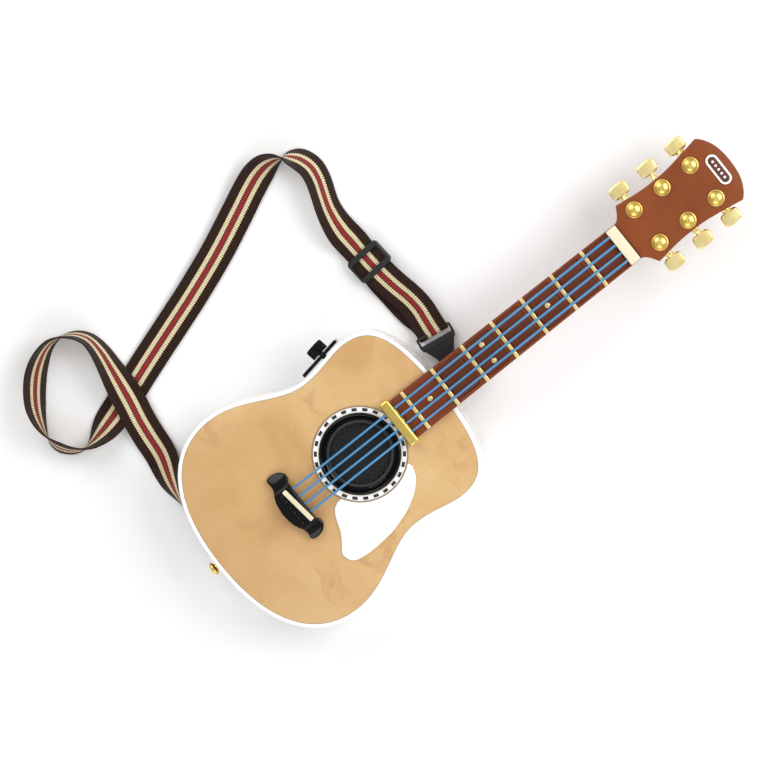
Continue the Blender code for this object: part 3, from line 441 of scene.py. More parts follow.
strapPlastic = mouldedPlastic("strapPlastic", shade(36, 36, 37), 0.44, spots=0.10, grain=0.00006,
                              specular=0.35)
print("materials made")


# body

bodyShape = {"lowerHalf": 0.1345, "lowerAt": 0.0920, "waistHalf": 0.1005, "waistAt": 0.1995,
             "upperHalf": 0.1083, "upperAt": 0.2577, "backRound": 0.014, "rimWidth": 0.0043,
             "rimRound": 0.0012, "wall": 0.0025, "soundHole": 0.0415, "screwHole": 0.0046}


def bodyOutline(inset=0.0):
    # the figure of eight, moved inwards by inset
    s = bodyShape
    lower, waist = (s["lowerHalf"], s["lowerAt"]), (s["waistHalf"], s["waistAt"])
    upper, top = (s["upperHalf"], s["upperAt"]), (0, bodyLength)
    half = bezierRun((0, 0), (0.70 * lower[0], 0), (lower[0], lower[1] * 0.44), lower, 34)
    half += bezierRun(lower, (lower[0], lower[1] + 0.0447), (waist[0], waist[1] - 0.0333), waist, 22)
    half += bezierRun(waist, (waist[0], waist[1] + 0.0252), (upper[0], upper[1] - 0.0174), upper, 14)
    half += bezierRun(upper, (upper[0], upper[1] + 0.0382), (0.77 * upper[0], top[1]), top, 34)
    ring = [(x, y + bodyEnd) for x, y in mirroredHalf(half + [top])]
    result = []
    for index, point in enumerate(ring):
        along = (Vector(ring[(index + 1) % len(ring)]) - Vector(ring[index - 1])).normalized()
        result.append((point[0] - along.y * inset, point[1] + along.x * inset))
    return result


def hollowed(item, wall):
    skin = item.modifiers.new("wall", "SOLIDIFY")
    skin.thickness = wall
    skin.offset = -1
    skin.use_even_offset = True
    return settle(item)


def capFaces(bm, z):
    return [face for face in bm.faces if all(abs(v.co.z - z) < 0.00002 for v in face.verts)]


def makeBody():
    s = bodyShape
    bm = slab(bodyOutline(), 0, splitZ, 0.0005, s["backRound"], 8)
    bmesh.ops.delete(bm, geom=capFaces(bm, splitZ), context="FACES")
    back = hollowed(rawObject("backShell", bm), s["wall"])
    doorLow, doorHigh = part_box("battery_door")
    doorY = (doorLow.y + doorHigh.y) / 2
    width, length = doorHigh.x - doorLow.x + 0.001, doorHigh.y - doorLow.y + 0.001
    boolean(back, moved(slab(roundedRect(width, length, 0.0016), -0.01, 0.01), at(0, doorY, 0)))
    for x, y in screwPlaces():
        boolean(back, moved(rod(s["screwHole"], -0.002, 0.008, 28), at(x, y, 0)))
    dress(soften(back, 0.0004), shellWhite, ["back_shell"])

    bm = slab(bodyOutline(), splitZ + gap, rimTop, s["rimRound"], 0.0005)
    cap = capFaces(bm, rimTop)
    bmesh.ops.inset_region(bm, faces=cap, thickness=s["rimWidth"] - s["rimRound"] - 0.0004,
                           use_even_offset=True)
    cap = max(capFaces(bm, rimTop), key=lambda face: face.calc_area())
    for inset, drop in ((0.0003, 0.0002), (0.0001, faceHigh.z - faceLow.z + 0.0005)):
        bmesh.ops.inset_region(bm, faces=[cap], thickness=inset, use_even_offset=True)
        bmesh.ops.translate(bm, verts=cap.verts, vec=(0, 0, -drop))
    bmesh.ops.delete(bm, geom=capFaces(bm, splitZ + gap), context="FACES")
    front = hollowed(rawObject("frontShell", bm), s["wall"])
    boolean(front, moved(rod(s["soundHole"], -0.01, 0.01, 96), at(0, holeY, faceLow.z)))
    dress(front, trimWhite, ["front_shell"])

    bm = slab(bodyOutline(s["rimWidth"] + gap), faceLow.z, faceHigh.z, 0.0004)
    panel = boolean(rawObject("facePanel", bm),
                    moved(rod(s["soundHole"], -0.01, 0.01, 96), at(0, holeY, faceLow.z)))
    dress(panel, facePrint, ["face_panel"])
    print("body made")


def screwPlaces():
    # eight screws hold the back on
    lowerHalf, lowerAt = bodyShape["lowerHalf"], bodyShape["lowerAt"]
    upperHalf, upperAt = bodyShape["upperHalf"], bodyShape["upperAt"]
    sides = [(lowerHalf - 0.030, lowerAt), (lowerHalf - 0.062, lowerAt - 0.066),
             (upperHalf - 0.030, upperAt),
             (bodyShape["waistHalf"] - 0.026, bodyShape["waistAt"] - 0.012)]
    return [(side * x, bodyEnd + y) for x, y in sides for side in (-1, 1)]


def makeBackScrews():
    look = {"cupOuter": 0.0045, "cupInner": 0.0038, "cupDepth": 0.0120, "headRadius": 0.0032,
            "headDepth": 0.0078}
    cups, screws = bmesh.new(), bmesh.new()
    deep = look["cupDepth"]
    for x, y in screwPlaces():
        cup = turnedShape([(0, deep), (look["cupOuter"], deep), (look["cupOuter"], 0.0004),
                           (look["cupOuter"], 0.0002), (look["cupInner"], 0.0002),
                           (look["cupInner"], deep - 0.0015), (0, deep - 0.0015)], 28)
        addTo(cups, moved(cup, at(x, y, 0)))
        head, low = look["headRadius"], look["headDepth"]
        screw = turnedShape([(0, deep - 0.0018), (head, deep - 0.0018), (head, low + 0.0012),
                             (head * 0.85, low + 0.0003), (head * 0.5, low), (0, low)], 24)
        addTo(screws, moved(screw, at(x, y, 0)))
    dress(rawObject("screwCups", cups), shellWhite)
    heads = rawObject("backScrews", screws)
    crosses = bmesh.new()
    for x, y in screwPlaces():
        for size in ((0.0009, 0.0038, 0.0024), (0.0038, 0.0009, 0.0024)):
            addTo(crosses, moved(softBlock(size, 0.0001, 1), at(x, y, look["headDepth"])))
    boolean(heads, crosses)
    dress(heads, brightSteel)


def makeBatteryDoor():
    look = {"round": 0.0014, "grooves": 5, "groovePitch": 0.0032, "grooveLength": 0.020}
    low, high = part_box("battery_door")
    centreY = (low.y + high.y) / 2
    bm = moved(slab(roundedRect(high.x - low.x, high.y - low.y, look["round"]), low.z, high.z, 0, 0.0004),
               at(0, centreY, 0))
    door = rawObject("batteryDoor", bm)
    grooves = bmesh.new()
    for index in range(look["grooves"]):
        y = low.y + 0.010 + index * look["groovePitch"]
        addTo(grooves, moved(softBlock((look["grooveLength"] + index * 0.004, 0.0012, 0.0012), 0.0003, 2),
                             at(0, y, low.z)))
    boolean(door, grooves)
    screwLow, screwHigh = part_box("battery_door_screw")
    screwY = (screwLow.y + screwHigh.y) / 2
    well = turnedShape([(0, 0.006), (0.0023, 0.006), (0.0023, 0.0010), (0.0036, -0.0002), (0.0036, -0.002),
                        (0, -0.002)], 32)
    boolean(door, moved(well, at(0, screwY, 0)))
    dress(soften(door, 0.0002), shellWhite, ["battery_door"])
    screw = turnedShape([(0, 0.0090), (0.0010, 0.0090), (0.0010, 0.0026), (0.0020, 0.0022),
                         (0.0020, 0.0012), (0.0014, 0.0008), (0, 0.0008)], 28)
    item = rawObject("doorScrew", moved(screw, at(0, screwY, 0)))
    boolean(item, moved(softBlock((0.0006, 0.0030, 0.0014), 0.0001, 1), at(0, screwY, 0.0008)))
    boolean(item, moved(softBlock((0.0030, 0.0006, 0.0014), 0.0001, 1), at(0, screwY, 0.0008)))
    dress(item, brightSteel, ["battery_door_screw"])
    print("battery door made")


# pickguard, rosette, speaker and bridge

guardShape = {"edge": [(0.0453, 0.0367), (0.0572, 0.0324), (0.0685, 0.0216), (0.0755, 0.0108), (0.0809, 0),
                       (0.0874, -0.0216), (0.0890, -0.0324), (0.0906, -0.0540), (0.0885, -0.0734),
                       (0.0831, -0.0809), (0.0755, -0.0831), (0.0712, -0.0820), (0.0626, -0.0755),
                       (0.0540, -0.0701), (0.0420, -0.0655), (0.0345, -0.0622), (0.0290, -0.0580),
                       (0.0258, -0.0522)],
              "arc": (-61.5, 41.0), "round": 0.0006}


def makePickguard():
    low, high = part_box("pickguard")
    first, last = (radians(angle) for angle in guardShape["arc"])
    reach = (ringHigh.x - ringLow.x) / 2 + gap
    arc = [(reach * cos(first + (last - first) * step / 48),
            reach * sin(first + (last - first) * step / 48))
           for step in range(49)]
    edge = [(x, y + holeY) for x, y in arc + throughPoints(guardShape["edge"], 6)]
    guard = rawObject("pickguard", slab(edge, low.z, high.z, guardShape["round"]))
    dress(guard, trimWhite, ["pickguard"])


speakerShape = {"ringInner": 0.0449, "bezelOuter": 0.0446, "throat": 0.0371, "meshCells": 18,
                "meshRadius": 0.0368, "meshPitch": 0.0050, "wire": 0.00105}


def makeSpeakerFront():
    inner, outer = speakerShape["ringInner"], (ringHigh.x - ringLow.x) / 2
    low, high = ringLow.z, ringHigh.z
    ring = turnedShape([(inner, high - 0.0002), (inner + 0.0003, high), (outer - 0.0006, high),
                        (outer - 0.0002, high - 0.0002), (outer, high - 0.0005), (outer, low), (inner, low),
                        (inner, high - 0.0002)], 128)
    ring = rawObject("rosetteRing", moved(ring, at(0, holeY, 0)))
    barLow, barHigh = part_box("end_bar")
    size = (barHigh.x - barLow.x + 2 * gap, barHigh.y - barLow.y + 2 * gap, 0.01)
    boolean(ring, moved(softBlock(size, 0.0001, 1), at(0, (barLow.y + barHigh.y) / 2, high)))
    dress(ring, rosettePrint("rosettePrint", inner, outer), ["rosette_ring"])

    lip, throat, base = speakerShape["bezelOuter"], speakerShape["throat"], low
    hollow = [(lip - 0.0004, 0.0012), (lip - 0.0010, 0.0018), (lip - 0.0019, 0.0019),
              (lip - 0.0027, 0.0015), (lip - 0.0034, 0.0006), (lip - 0.0042, -0.0008),
              (lip - 0.0055, -0.0021), (throat + 0.0006, -0.0029), (throat, -0.0034), (throat, -0.0048),
              (0.0397, -0.0048), (0.0412, -0.0030), (0.0412, 0), (lip, 0), (lip, 0.0006),
              (lip - 0.0004, 0.0012)]
    bezel = rawObject("speakerBezel", moved(turnedShape(hollow, 128), at(0, holeY, base)))
    dress(bezel, glossBlack, ["speaker_bezel"])

    reach, pitch = speakerShape["meshRadius"], speakerShape["meshPitch"]
    cells = speakerShape["meshCells"]
    bm = bmesh.new()
    bmesh.ops.create_grid(bm, x_segments=cells, y_segments=cells, size=pitch * cells / 2)
    bmesh.ops.rotate(bm, cent=(0, 0, 0), matrix=Matrix.Rotation(radians(45), 3, "Z"), verts=bm.verts)
    far = [face for face in bm.faces if face.calc_center_median().length > reach]
    bmesh.ops.delete(bm, geom=far, context="FACES")
    for vertex in bm.verts:
        flat = hypot(vertex.co.x, vertex.co.y)
        if flat > reach - 0.0006:
            vertex.co *= (reach - 0.0006) / flat
        vertex.co.z = -0.0034 - 0.0012 * (flat / reach) ** 3
    mesh = rawObject("speakerGrille", moved(bm, at(0, holeY, base)))
    wires = mesh.modifiers.new("wires", "WIREFRAME")
    wires.thickness = speakerShape["wire"]
    wires.use_even_offset = False
    settle(mesh)
    rim = turnedShape([(reach - 0.0030, -0.0038), (reach - 0.0018, -0.0036), (reach, -0.0041),
                       (reach, -0.0056), (reach - 0.0030, -0.0056), (reach - 0.0030, -0.0038)], 96)
    bm = bmesh.new()
    bm.from_mesh(mesh.data)
    addTo(bm, moved(rim, at(0, holeY, base))).to_mesh(mesh.data)
    bm.free()
    dress(mesh, grilleBlack, ["speaker_grille"], smooth=50)
    print("speaker front made")


bridgeShape = {"halfEdge": [(0, -0.0167), (0.0130, -0.0151), (0.0205, -0.0122), (0.0237, -0.0103),
                            (0.0270, -0.0086), (0.0324, -0.0080), (0.0388, -0.0084), (0.0410, -0.0060),
                            (0.0418, 0.0), (0.0394, 0.0075), (0.0345, 0.0119), (0.0313, 0.0126),
                            (0.0270, 0.0119), (0.0245, 0.0094), (0, 0.0094)],
               "at": 0.1095, "ridges": (-0.0212, 0.0256), "wingDrop": 0.0054, "pins": 6, "pinPitch": 0.0072,
               "pinFirst": -0.0160, "pinAt": 0.1043, "pinRadius": 0.0023, "pinDome": 0.0017,
               "saddle": (0.0440, 0.0054), "saddleTurn": 7.0}


def makeBridge():
    s = bridgeShape
    low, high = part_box("bridge")
    y0 = bodyEnd + s["at"]
    half = throughPoints(s["halfEdge"][:-1], 5) + [s["halfEdge"][-1]]
    bm = slab([(x, y + y0) for x, y in mirroredHalf(half)], low.z, high.z, 0.0022, 0, 5)
    left, right = s["ridges"]
    steps = [0.0004 * index for index in range(7)] + [0.0024 + 0.0016 * index for index in range(1, 12)]
    for x in [left - step for step in steps] + [right + step for step in steps]:
        bmesh.ops.bisect_plane(bm, geom=bm.verts[:] + bm.edges[:] + bm.faces[:], plane_co=(x, 0, 0),
                               plane_no=(1, 0, 0))
    for vertex in bm.verts:
        past = max(left - vertex.co.x, vertex.co.x - right)
        if past > 0.0001 and vertex.co.z > low.z + 0.001:
            step = min(1.0, past / 0.0024)
            ridge, wing = 0.25 * step * step * (3 - 2 * step), 0.75 * min(1.0, past / 0.019) ** 2
            drop = s["wingDrop"] * (ridge + wing)
            vertex.co.z = low.z + (vertex.co.z - low.z) * (1 - drop / (high.z - low.z))
    bridge = rawObject("bridge", bm)
    saddleLow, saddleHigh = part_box("saddle")
    place = (saddleLow + saddleHigh) / 2
    turn = Matrix.Rotation(radians(s["saddleTurn"]), 4, "Z")
    long, wide = s["saddle"]
    boolean(bridge, moved(softBlock((long + 2 * gap, wide + 2 * gap, 0.0044), 0.0002, 1),
                          at(place.x, place.y, high.z) @ turn))
    pins = bmesh.new()
    for index in range(s["pins"]):
        x = s["pinFirst"] + index * s["pinPitch"]
        y = bodyEnd + s["pinAt"] + 0.0004 * (index % 2)
        radius = s["pinRadius"]
        socket = rod(radius + 0.0004, -0.0012, 0.001, 28)
        boolean(bridge, moved(socket, at(x, y, high.z)))
        dome = [(radius * sin(pi / 2 * step / 6), s["pinDome"] * cos(pi / 2 * step / 6))
                for step in range(7)]
        addTo(pins, moved(turnedShape(dome + [(radius, -0.0010), (0, -0.0010)], 28), at(x, y, high.z)))
    dress(bridge, glossBlack, ["bridge"], smooth=48)
    dress(rawObject("bridgePins", pins), glossBlack)
    saddle = softBlock((long, wide, saddleHigh.z - saddleLow.z), 0.0013, 4)
    saddle = rawObject("saddle", moved(saddle, at(*place) @ turn))
    dress(saddle, creamPlastic, ["saddle"])
    print("bridge made")


# neck

headShape = {"side": [(0.0382, 0.0136), (0.0345, 0.0430), (0.0343, 0.0750), (0.0388, 0.1070),
                      (0.0416, 0.1238)],
             "crown": [(0.0414, 0.1249), (0.0360, 0.1300), (0.0280, 0.1347), (0.0190, 0.1379),
                       (0.0090, 0.1394)],
             "shoulder": ((0.0242, 0.0056), (0.0300, 0.0088)), "round": 0.0014}
headStart = boardHigh.y
headSide = throughPoints(headShape["side"], 10)


def boardHalf(y):
    share = (y - boardLow.y) / (boardHigh.y - boardLow.y)
    return boardHigh.x + ((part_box("nut")[1].x + 0.0006) - boardHigh.x) * share


def headHalfAt(rise):
    for (x0, y0), (x1, y1) in zip(headSide, headSide[1:]):
        if y0 <= rise <= y1:
            return x0 + (x1 - x0) * (rise - y0) / (y1 - y0)
    return headSide[0][0]


def headOutline(shrink=1.0):
    length = coverHigh.y - headStart
    crown = throughPoints(headShape["crown"] + [(0, length)], 8)[1:]
    half = [(boardHalf(headStart), gap)]
    half += bezierRun(half[0], *headShape["shoulder"], headSide[0], 10)[1:]
    half += headSide + crown
    return [(x * shrink, headStart + y) for x, y in mirroredHalf(half)]


def makeNeck():
    look = {"heelFoot": 0.0140, "heelLength": 0.0370, "depth": 0.0200, "headDepth": 0.0140,
            "ringPoints": 28, "shaftBore": 0.0023, "troughHalf": 0.0209, "troughDepth": 0.0050,
            "troughFrom": 0.0060, "troughTo": 0.0129, "underHead": 0.0118, "headThin": 0.0098,
            "flareFrom": 0.030}
    start, stop = neckLow.y, headStart + look["underHead"]
    heel = look["heelLength"]
    foot = [(0.80 * heel, look["heelFoot"]), (0.95 * heel, look["heelFoot"] + 0.004),
            (heel, look["heelFoot"] + 0.013), (1.12 * heel, look["heelFoot"] + 0.028),
            (1.5 * heel, neckHigh.z - look["depth"])]
    curve = throughPoints(foot, 8)
    top = boardLow.z - gap
    places = [i * foot[0][0] / 6 for i in range(6)] + [y for y, z in curve]
    rest = stop - start - places[-1]
    places += [places[-1] + rest * (i + 1) / 40 for i in range(40)]

    def lowest(along):
        if along <= foot[0][0]:
            return look["heelFoot"]
        for (y0, z0), (y1, z1) in zip(curve, curve[1:]):
            if along <= y1:
                return z0 + (z1 - z0) * (along - y0) / (y1 - y0)
        flare = max(0.0, (start + along - (headStart - look["flareFrom"]))
                    / (look["flareFrom"] + look["underHead"]))
        return top - look["depth"] + (look["depth"] - look["headThin"]) * flare * flare * (3 - 2 * flare)

    bm = bmesh.new()
    edges, ring = None, None
    for along in places:
        deep = top - lowest(along)
        boxy = 2.0 + 2.2 * max(0.0, min(1.0, (deep - look["depth"]) / 0.030))
        half = boardHalf(start + along) - 0.0003
        points = []
        for step in range(look["ringPoints"] + 1):
            angle = pi * step / look["ringPoints"]
            c, s = cos(angle), sin(angle)
            points.append((half * (1 if c > 0 else -1) * abs(c) ** (2 / boxy), start + along,
                           top - deep * s ** (2 / boxy)))
        if ring is None:
            ring = [bm.verts.new(p) for p in points]
            edges = [bm.edges.new((ring[i], ring[(i + 1) % len(ring)])) for i in range(len(ring))]
            firstEdges = edges[:]
        else:
            ring = nextRing(bm, ring, edges)
            for vertex, place in zip(ring, points):
                vertex.co = place
            edges = [bm.edges.get((ring[i], ring[(i + 1) % len(ring)])) for i in range(len(ring))]
    bmesh.ops.contextual_create(bm, geom=firstEdges)
    bmesh.ops.contextual_create(bm, geom=edges)
    bmesh.ops.recalc_face_normals(bm, faces=bm.faces)
    neck = rawObject("neckBack", bm)
    headLow = coverHigh.z - look["headDepth"]
    boolean(neck, slab(headOutline(0.99), headLow, coverLow.z - gap, 0.0004, 0.0024, 4), "UNION")
    for row in range(3):
        low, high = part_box(f"tuner_key_{row + 1}")
        bore = rod(look["shaftBore"], -0.06, 0.06, 24)
        place = at(0, (low.y + high.y) / 2, (low.z + high.z) / 2) @ Matrix.Rotation(pi / 2, 4, "Y")
        boolean(neck, moved(bore, place))
    half, first, last = look["troughHalf"], start + look["troughFrom"], headStart - look["troughTo"]
    trough = slab([(-half, first), (half, first), (half, last), (-half, last)], top - look["troughDepth"],
                  top + 0.01)
    boolean(neck, trough)
    dress(neck, neckBrown, ["neck_back"])
    cover = slab(headOutline(), coverLow.z, coverHigh.z, headShape["round"], 0.0003, 4)
    dress(rawObject("headCover", cover), neckBrown, ["headstock_cover"])
    dress(rawObject("nut", filling("nut", 0.0011, 4)), creamPlastic, ["nut"])
    print("neck made")


def makeBoard():
    look = {"round": 0.0010, "keyRound": 0.0030, "keyEdge": 0.0009, "dotRadius": 0.0029,
            "fretRound": 0.00062}
    outline = [(-boardHalf(boardLow.y), boardLow.y), (boardHalf(boardLow.y), boardLow.y),
               (boardHalf(headStart), headStart), (-boardHalf(headStart), headStart)]
    board = rawObject("fingerboard", slab(outline, boardLow.z, boardHigh.z, look["round"], 0, 3))
    dotted = {2: (-0.0108, 0.0108), 4: (0.0,)}
    for index in range(1, 7):
        low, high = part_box(f"fret_key_{index}")
        middle = (low + high) / 2
        width, length = high.x - low.x, high.y - low.y
        opening = slab(roundedRect(width + 0.001, length + 0.001, look["keyRound"] + 0.0005),
                       low.z - 0.02, high.z + 0.02)
        boolean(board, moved(opening, at(middle.x, middle.y, 0)))
        key = slab(roundedRect(width, length, look["keyRound"]), low.z, high.z, look["keyEdge"], 0, 4)
        key = rawObject(f"fretKey{index}", moved(key, at(middle.x, middle.y, 0)))
        dress(key, keyBrown, [f"fret_key_{index}"], f"fret_key_{index}")
        for x in dotted.get(index, ()):
            dot = makeDot(f"keyDot{index}_{'R' if x > 0 else 'L'}", x, middle.y, high.z, look["dotRadius"])
            dress(dot, goldPale, (), f"fret_key_{index}")
    dress(soften(board, 0.0005), boardBrown, ["fingerboard"])
    firstFret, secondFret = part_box("fret_1"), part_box("fret_2")
    y = (firstFret[0].y + firstFret[1].y + secondFret[0].y + secondFret[1].y) / 4
    dress(makeDot("boardDot", 0, y, boardHigh.z, look["dotRadius"]), goldPale)
    for index in range(1, 8):
        fret = rawObject(f"fret{index}", filling(f"fret_{index}", look["fretRound"], 4))
        dress(fret, goldPale, [f"fret_{index}"])
    print("fingerboard made")


def makeDot(name, x, y, z, radius):
    dome = [(radius * sin(pi / 2 * step / 5), 0.0003 + 0.0004 * cos(pi / 2 * step / 5))
            for step in range(6)]
    return rawObject(name, moved(turnedShape(dome + [(radius, -0.0003), (0, -0.0003)], 36), at(x, y, z)))


def makeStrings():
    look = {"radius": 0.0013, "startZ": 0.0778, "endZ": 0.0825, "barSlot": (0.0370, 0.03, 0.0038),
            "barSlotZ": 0.07925}
    for index in range(1, 5):
        low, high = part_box(f"string_{index}")
        x = (low.x + high.x) / 2
        start, stop = Vector((x, low.y, look["startZ"])), Vector((x, high.y, look["endZ"]))
        run = stop - start
        bm = bmesh.new()
        bmesh.ops.create_cone(bm, cap_ends=True, segments=24, radius1=look["radius"],
                              radius2=look["radius"], depth=run.length)
        ends = [edge for edge in bm.edges if abs(edge.verts[0].co.z - edge.verts[1].co.z) < 0.00001]
        bmesh.ops.bevel(bm, geom=ends, offset=0.0003, segments=2, profile=0.5, affect="EDGES", material=-1)
        turn = run.to_track_quat("Z", "Y").to_matrix().to_4x4()
        string = rawObject(f"string{index}", moved(bm, Matrix.Translation((start + stop) / 2) @ turn))
        dress(string, stringBlue, [f"string_{index}"])
    low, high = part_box("end_bar")
    bar = rawObject("endBar", filling("end_bar", 0.0026, 5))
    slot = softBlock(look["barSlot"], 0.0010, 2)
    boolean(bar, moved(slot, at(0, (low.y + high.y) / 2, look["barSlotZ"])))
    dress(soften(bar, 0.0003), gold, ["end_bar"])
    print("strings made")


# head

def makeTuners():
    look = {"radius": 0.0092, "dome": 0.0080, "height": 0.0062, "keyX": 0.0490, "keyThick": 0.0080}
    for number in range(1, 7):
        low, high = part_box(f"tuner_post_{number}")
        x, y = (low.x + high.x) / 2, (low.y + high.y) / 2
        tall = high.z - low.z
        dome = [(0, tall - 0.0003), (0.0010, tall - 0.0002), (0.0017, tall)]
        for step in range(2, 12):
            angle = pi / 2 * step / 11
            dome.append((look["dome"] * sin(angle), 0.0012 + (tall - 0.0012) * cos(angle) ** 0.9))
        profile = dome + [(look["dome"], 0.0009), (look["dome"] + 0.0003, 0.0007),
                          (look["radius"] - 0.0003, 0.0007), (look["radius"], 0.0004), (look["radius"], 0),
                          (0, 0)]
        post = rawObject(f"tunerPost{number}", moved(turnedShape(profile, 48), at(x, y, low.z)))
        dress(post, gold, [f"tuner_post_{number}"])

        low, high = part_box(f"tuner_key_{number}")
        y, z = (low.y + high.y) / 2, (low.z + high.z) / 2
        side = 1 if high.x > 0 else -1
        inner = headHalfAt(y - headStart) + 0.0004
        stem = turnedShape([(0, 0.0470), (0.0030, 0.0470), (0.0030, 0.0425), (0.0033, inner + 0.0046),
                            (0.0039, inner + 0.0030), (0.0052, inner + 0.0014), (0.0060, inner + 0.0006),
                            (0.0060, inner), (0.0019, inner), (0.0019, 0.0224), (0, 0.0224)], 32)
        halfHead = [(-0.0080, 0.0), (-0.0080, 0.0056), (-0.0074, 0.0086), (-0.0050, 0.0108), (0.0, 0.0113),
                    (0.0046, 0.0110), (0.0064, 0.0092), (0.0075, 0.0048), (0.0080, 0.0)]
        ring = throughPoints(halfHead, 4)
        outline = [(x, -y) for x, y in ring[:-1]] + [(x, y) for x, y in reversed(ring[1:])]
        thick = look["keyThick"] / 2
        grip = slab(outline, -thick, thick, 0.0026, 0.0026, 5)
        key = rawObject(f"tunerKey{number}", moved(grip, at(look["keyX"], 0, 0)))
        boolean(key, moved(stem, Matrix.Rotation(pi / 2, 4, "Y")), "UNION")
        key.data.transform(at(0, y, z) @ Matrix.Rotation(0 if side > 0 else pi, 4, "Z"))
        dress(key, goldPale, [f"tuner_key_{number}"], f"tuner_key_{number}", smooth=50)
    print("tuners made")


def makeBadge():
    look = {"width": 0.0370, "height": 0.0140, "border": 0.0021, "dots": 5, "dotPitch": 0.0052,
            "dotRadius": 0.0014}
    low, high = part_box("head_badge")
    y = (low.y + high.y) / 2
    bm = slab(roundedRect(look["width"], look["height"], look["height"] / 2, 12), low.z, high.z, 0.0004)
    cap = max(capFaces(bm, high.z), key=lambda face: face.calc_area())
    bmesh.ops.inset_region(bm, faces=[cap], thickness=look["border"] - 0.0004, use_even_offset=True)
    bmesh.ops.inset_region(bm, faces=[cap], thickness=0.0002, use_even_offset=True)
    bmesh.ops.translate(bm, verts=cap.verts, vec=(0, 0, -0.0005))
    dress(rawObject("headBadge", moved(bm, at(0, y, 0))), trimWhite, ["head_badge"])
    inside = look["height"] - 2 * look["border"] - 0.0006
    field = slab(roundedRect(look["width"] - 2 * look["border"] - 0.0006, inside, inside / 2, 12),
                 high.z - 0.0005, high.z - 0.0002, 0.0001)
    dress(rawObject("badgeField", moved(field, at(0, y, 0))), badgeBrown)
    dots = bmesh.new()
    for index in range(look["dots"]):
        x = (index - (look["dots"] - 1) / 2) * look["dotPitch"]
        radius = look["dotRadius"]
        dot = turnedShape([(0, 0.0003), (radius - 0.0003, 0.0003), (radius, 0.0001), (radius, -0.0002),
                           (0, -0.0002)], 20)
        addTo(dots, moved(dot, at(x, y, high.z - 0.0002)))
    dress(rawObject("badgeDots", dots), trimWhite)


# volume control, end pin and heel button

controlShape = {"at": 0.2291, "x": -0.1062, "z": 0.0500, "turn": 9.5, "plate": (0.0040, 0.0530, 0.0300),
                "knobShift": 0.0040, "knobRadius": 0.0106, "knobHeight": 0.0125, "ribs": 30,
                "shaft": 0.0030}


def controlPlace(along, out):
    s = controlShape
    turn = Matrix.Rotation(radians(s["turn"]), 4, "Z")
    return at(s["x"], bodyEnd + s["at"], s["z"]) @ turn @ at(-out, along, 0)


def makeControl():
    s = controlShape
    thick, length, width = s["plate"]
    toX = Matrix.Rotation(-pi / 2, 4, "Y")
    plate = slab(roundedRect(width, length, 0.0040), 0, thick, 0.0010, 0, 3)
    cap = max(capFaces(plate, thick), key=lambda face: face.calc_area())
    bmesh.ops.inset_region(plate, faces=[cap], thickness=0.0012, use_even_offset=True)
    bmesh.ops.inset_region(plate, faces=[cap], thickness=0.0003, use_even_offset=True)
    bmesh.ops.translate(plate, verts=cap.verts, vec=(0, 0, -0.0004))
    plate = rawObject("controlPlate", moved(plate, controlPlace(0, 0) @ toX))
    bore = rod(s["shaft"] + gap, -0.03, 0.03, 32)
    boolean(plate, moved(bore, controlPlace(s["knobShift"], 0) @ toX))
    dress(plate, glossBlack, ["control_plate"])
    radius, tall = s["knobRadius"], s["knobHeight"]
    outline = []
    for rib in range(s["ribs"]):
        for share, reach in ((0.0, radius - 0.0010), (0.25, radius - 0.0002), (0.5, radius),
                             (0.75, radius - 0.0002)):
            angle = 2 * pi * (rib + share) / s["ribs"]
            outline.append((reach * cos(angle), reach * sin(angle)))
    knob = rawObject("volumeKnob", slab(outline, 0.0004, tall - 0.0011))
    crown = turnedShape([(0, tall - 0.0006), (radius - 0.0034, tall - 0.0006),
                         (radius - 0.0030, tall - 0.0001), (radius - 0.0026, tall), (radius - 0.0016, tall),
                         (radius - 0.0010, tall - 0.0003), (radius - 0.0008, tall - 0.0008),
                         (radius - 0.0008, tall - 0.0030), (0, tall - 0.0030)], 80)
    boolean(knob, crown, "UNION")
    shaft = rod(s["shaft"], -0.0120, 0.0010, 24)
    boolean(knob, shaft, "UNION")
    mark = softBlock((0.0060, 0.0010, 0.0010), 0.0002, 2)
    boolean(knob, moved(mark, at(0.0050, 0, tall - 0.0006)))
    knob.data.transform(controlPlace(s["knobShift"], s["plate"][0] + 2 * gap) @ toX)
    dress(knob, glossBlack, ["volume_knob"], "volume_knob")
    print("volume control made")


def makeFasteners():
    low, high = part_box("end_pin")
    z, reach = (low.z + high.z) / 2, high.y - low.y + 0.0006
    profile = [(0, reach), (0.0026, reach - 0.0001), (0.0050, reach - 0.0006), (0.0068, reach - 0.0017),
               (0.0078, reach - 0.0029), (0.0080, reach - 0.0038), (0.0076, reach - 0.0048),
               (0.0050, reach - 0.0058), (0.0038, reach - 0.0066), (0.0035, reach - 0.0080),
               (0.0035, 0.0006), (0, 0.0006)]
    pin = moved(turnedShape(profile, 48), at(0, bodyEnd, z) @ Matrix.Rotation(pi / 2, 4, "X"))
    dress(rawObject("endPin", pin), gold, ["end_pin"])
    low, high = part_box("heel_button")
    y = (low.y + high.y) / 2
    profile = [(0, high.z), (0.0035, high.z), (0.0035, low.z + 0.0040), (0.0044, low.z + 0.0032),
               (0.0062, low.z + 0.0026), (0.0065, low.z + 0.0018), (0.0064, low.z + 0.0010),
               (0.0056, low.z + 0.0002), (0.0040, low.z), (0, low.z)]
    dress(rawObject("heelButton", moved(turnedShape(profile, 48), at(0, y, 0))), gold,
          ["heel_button"])


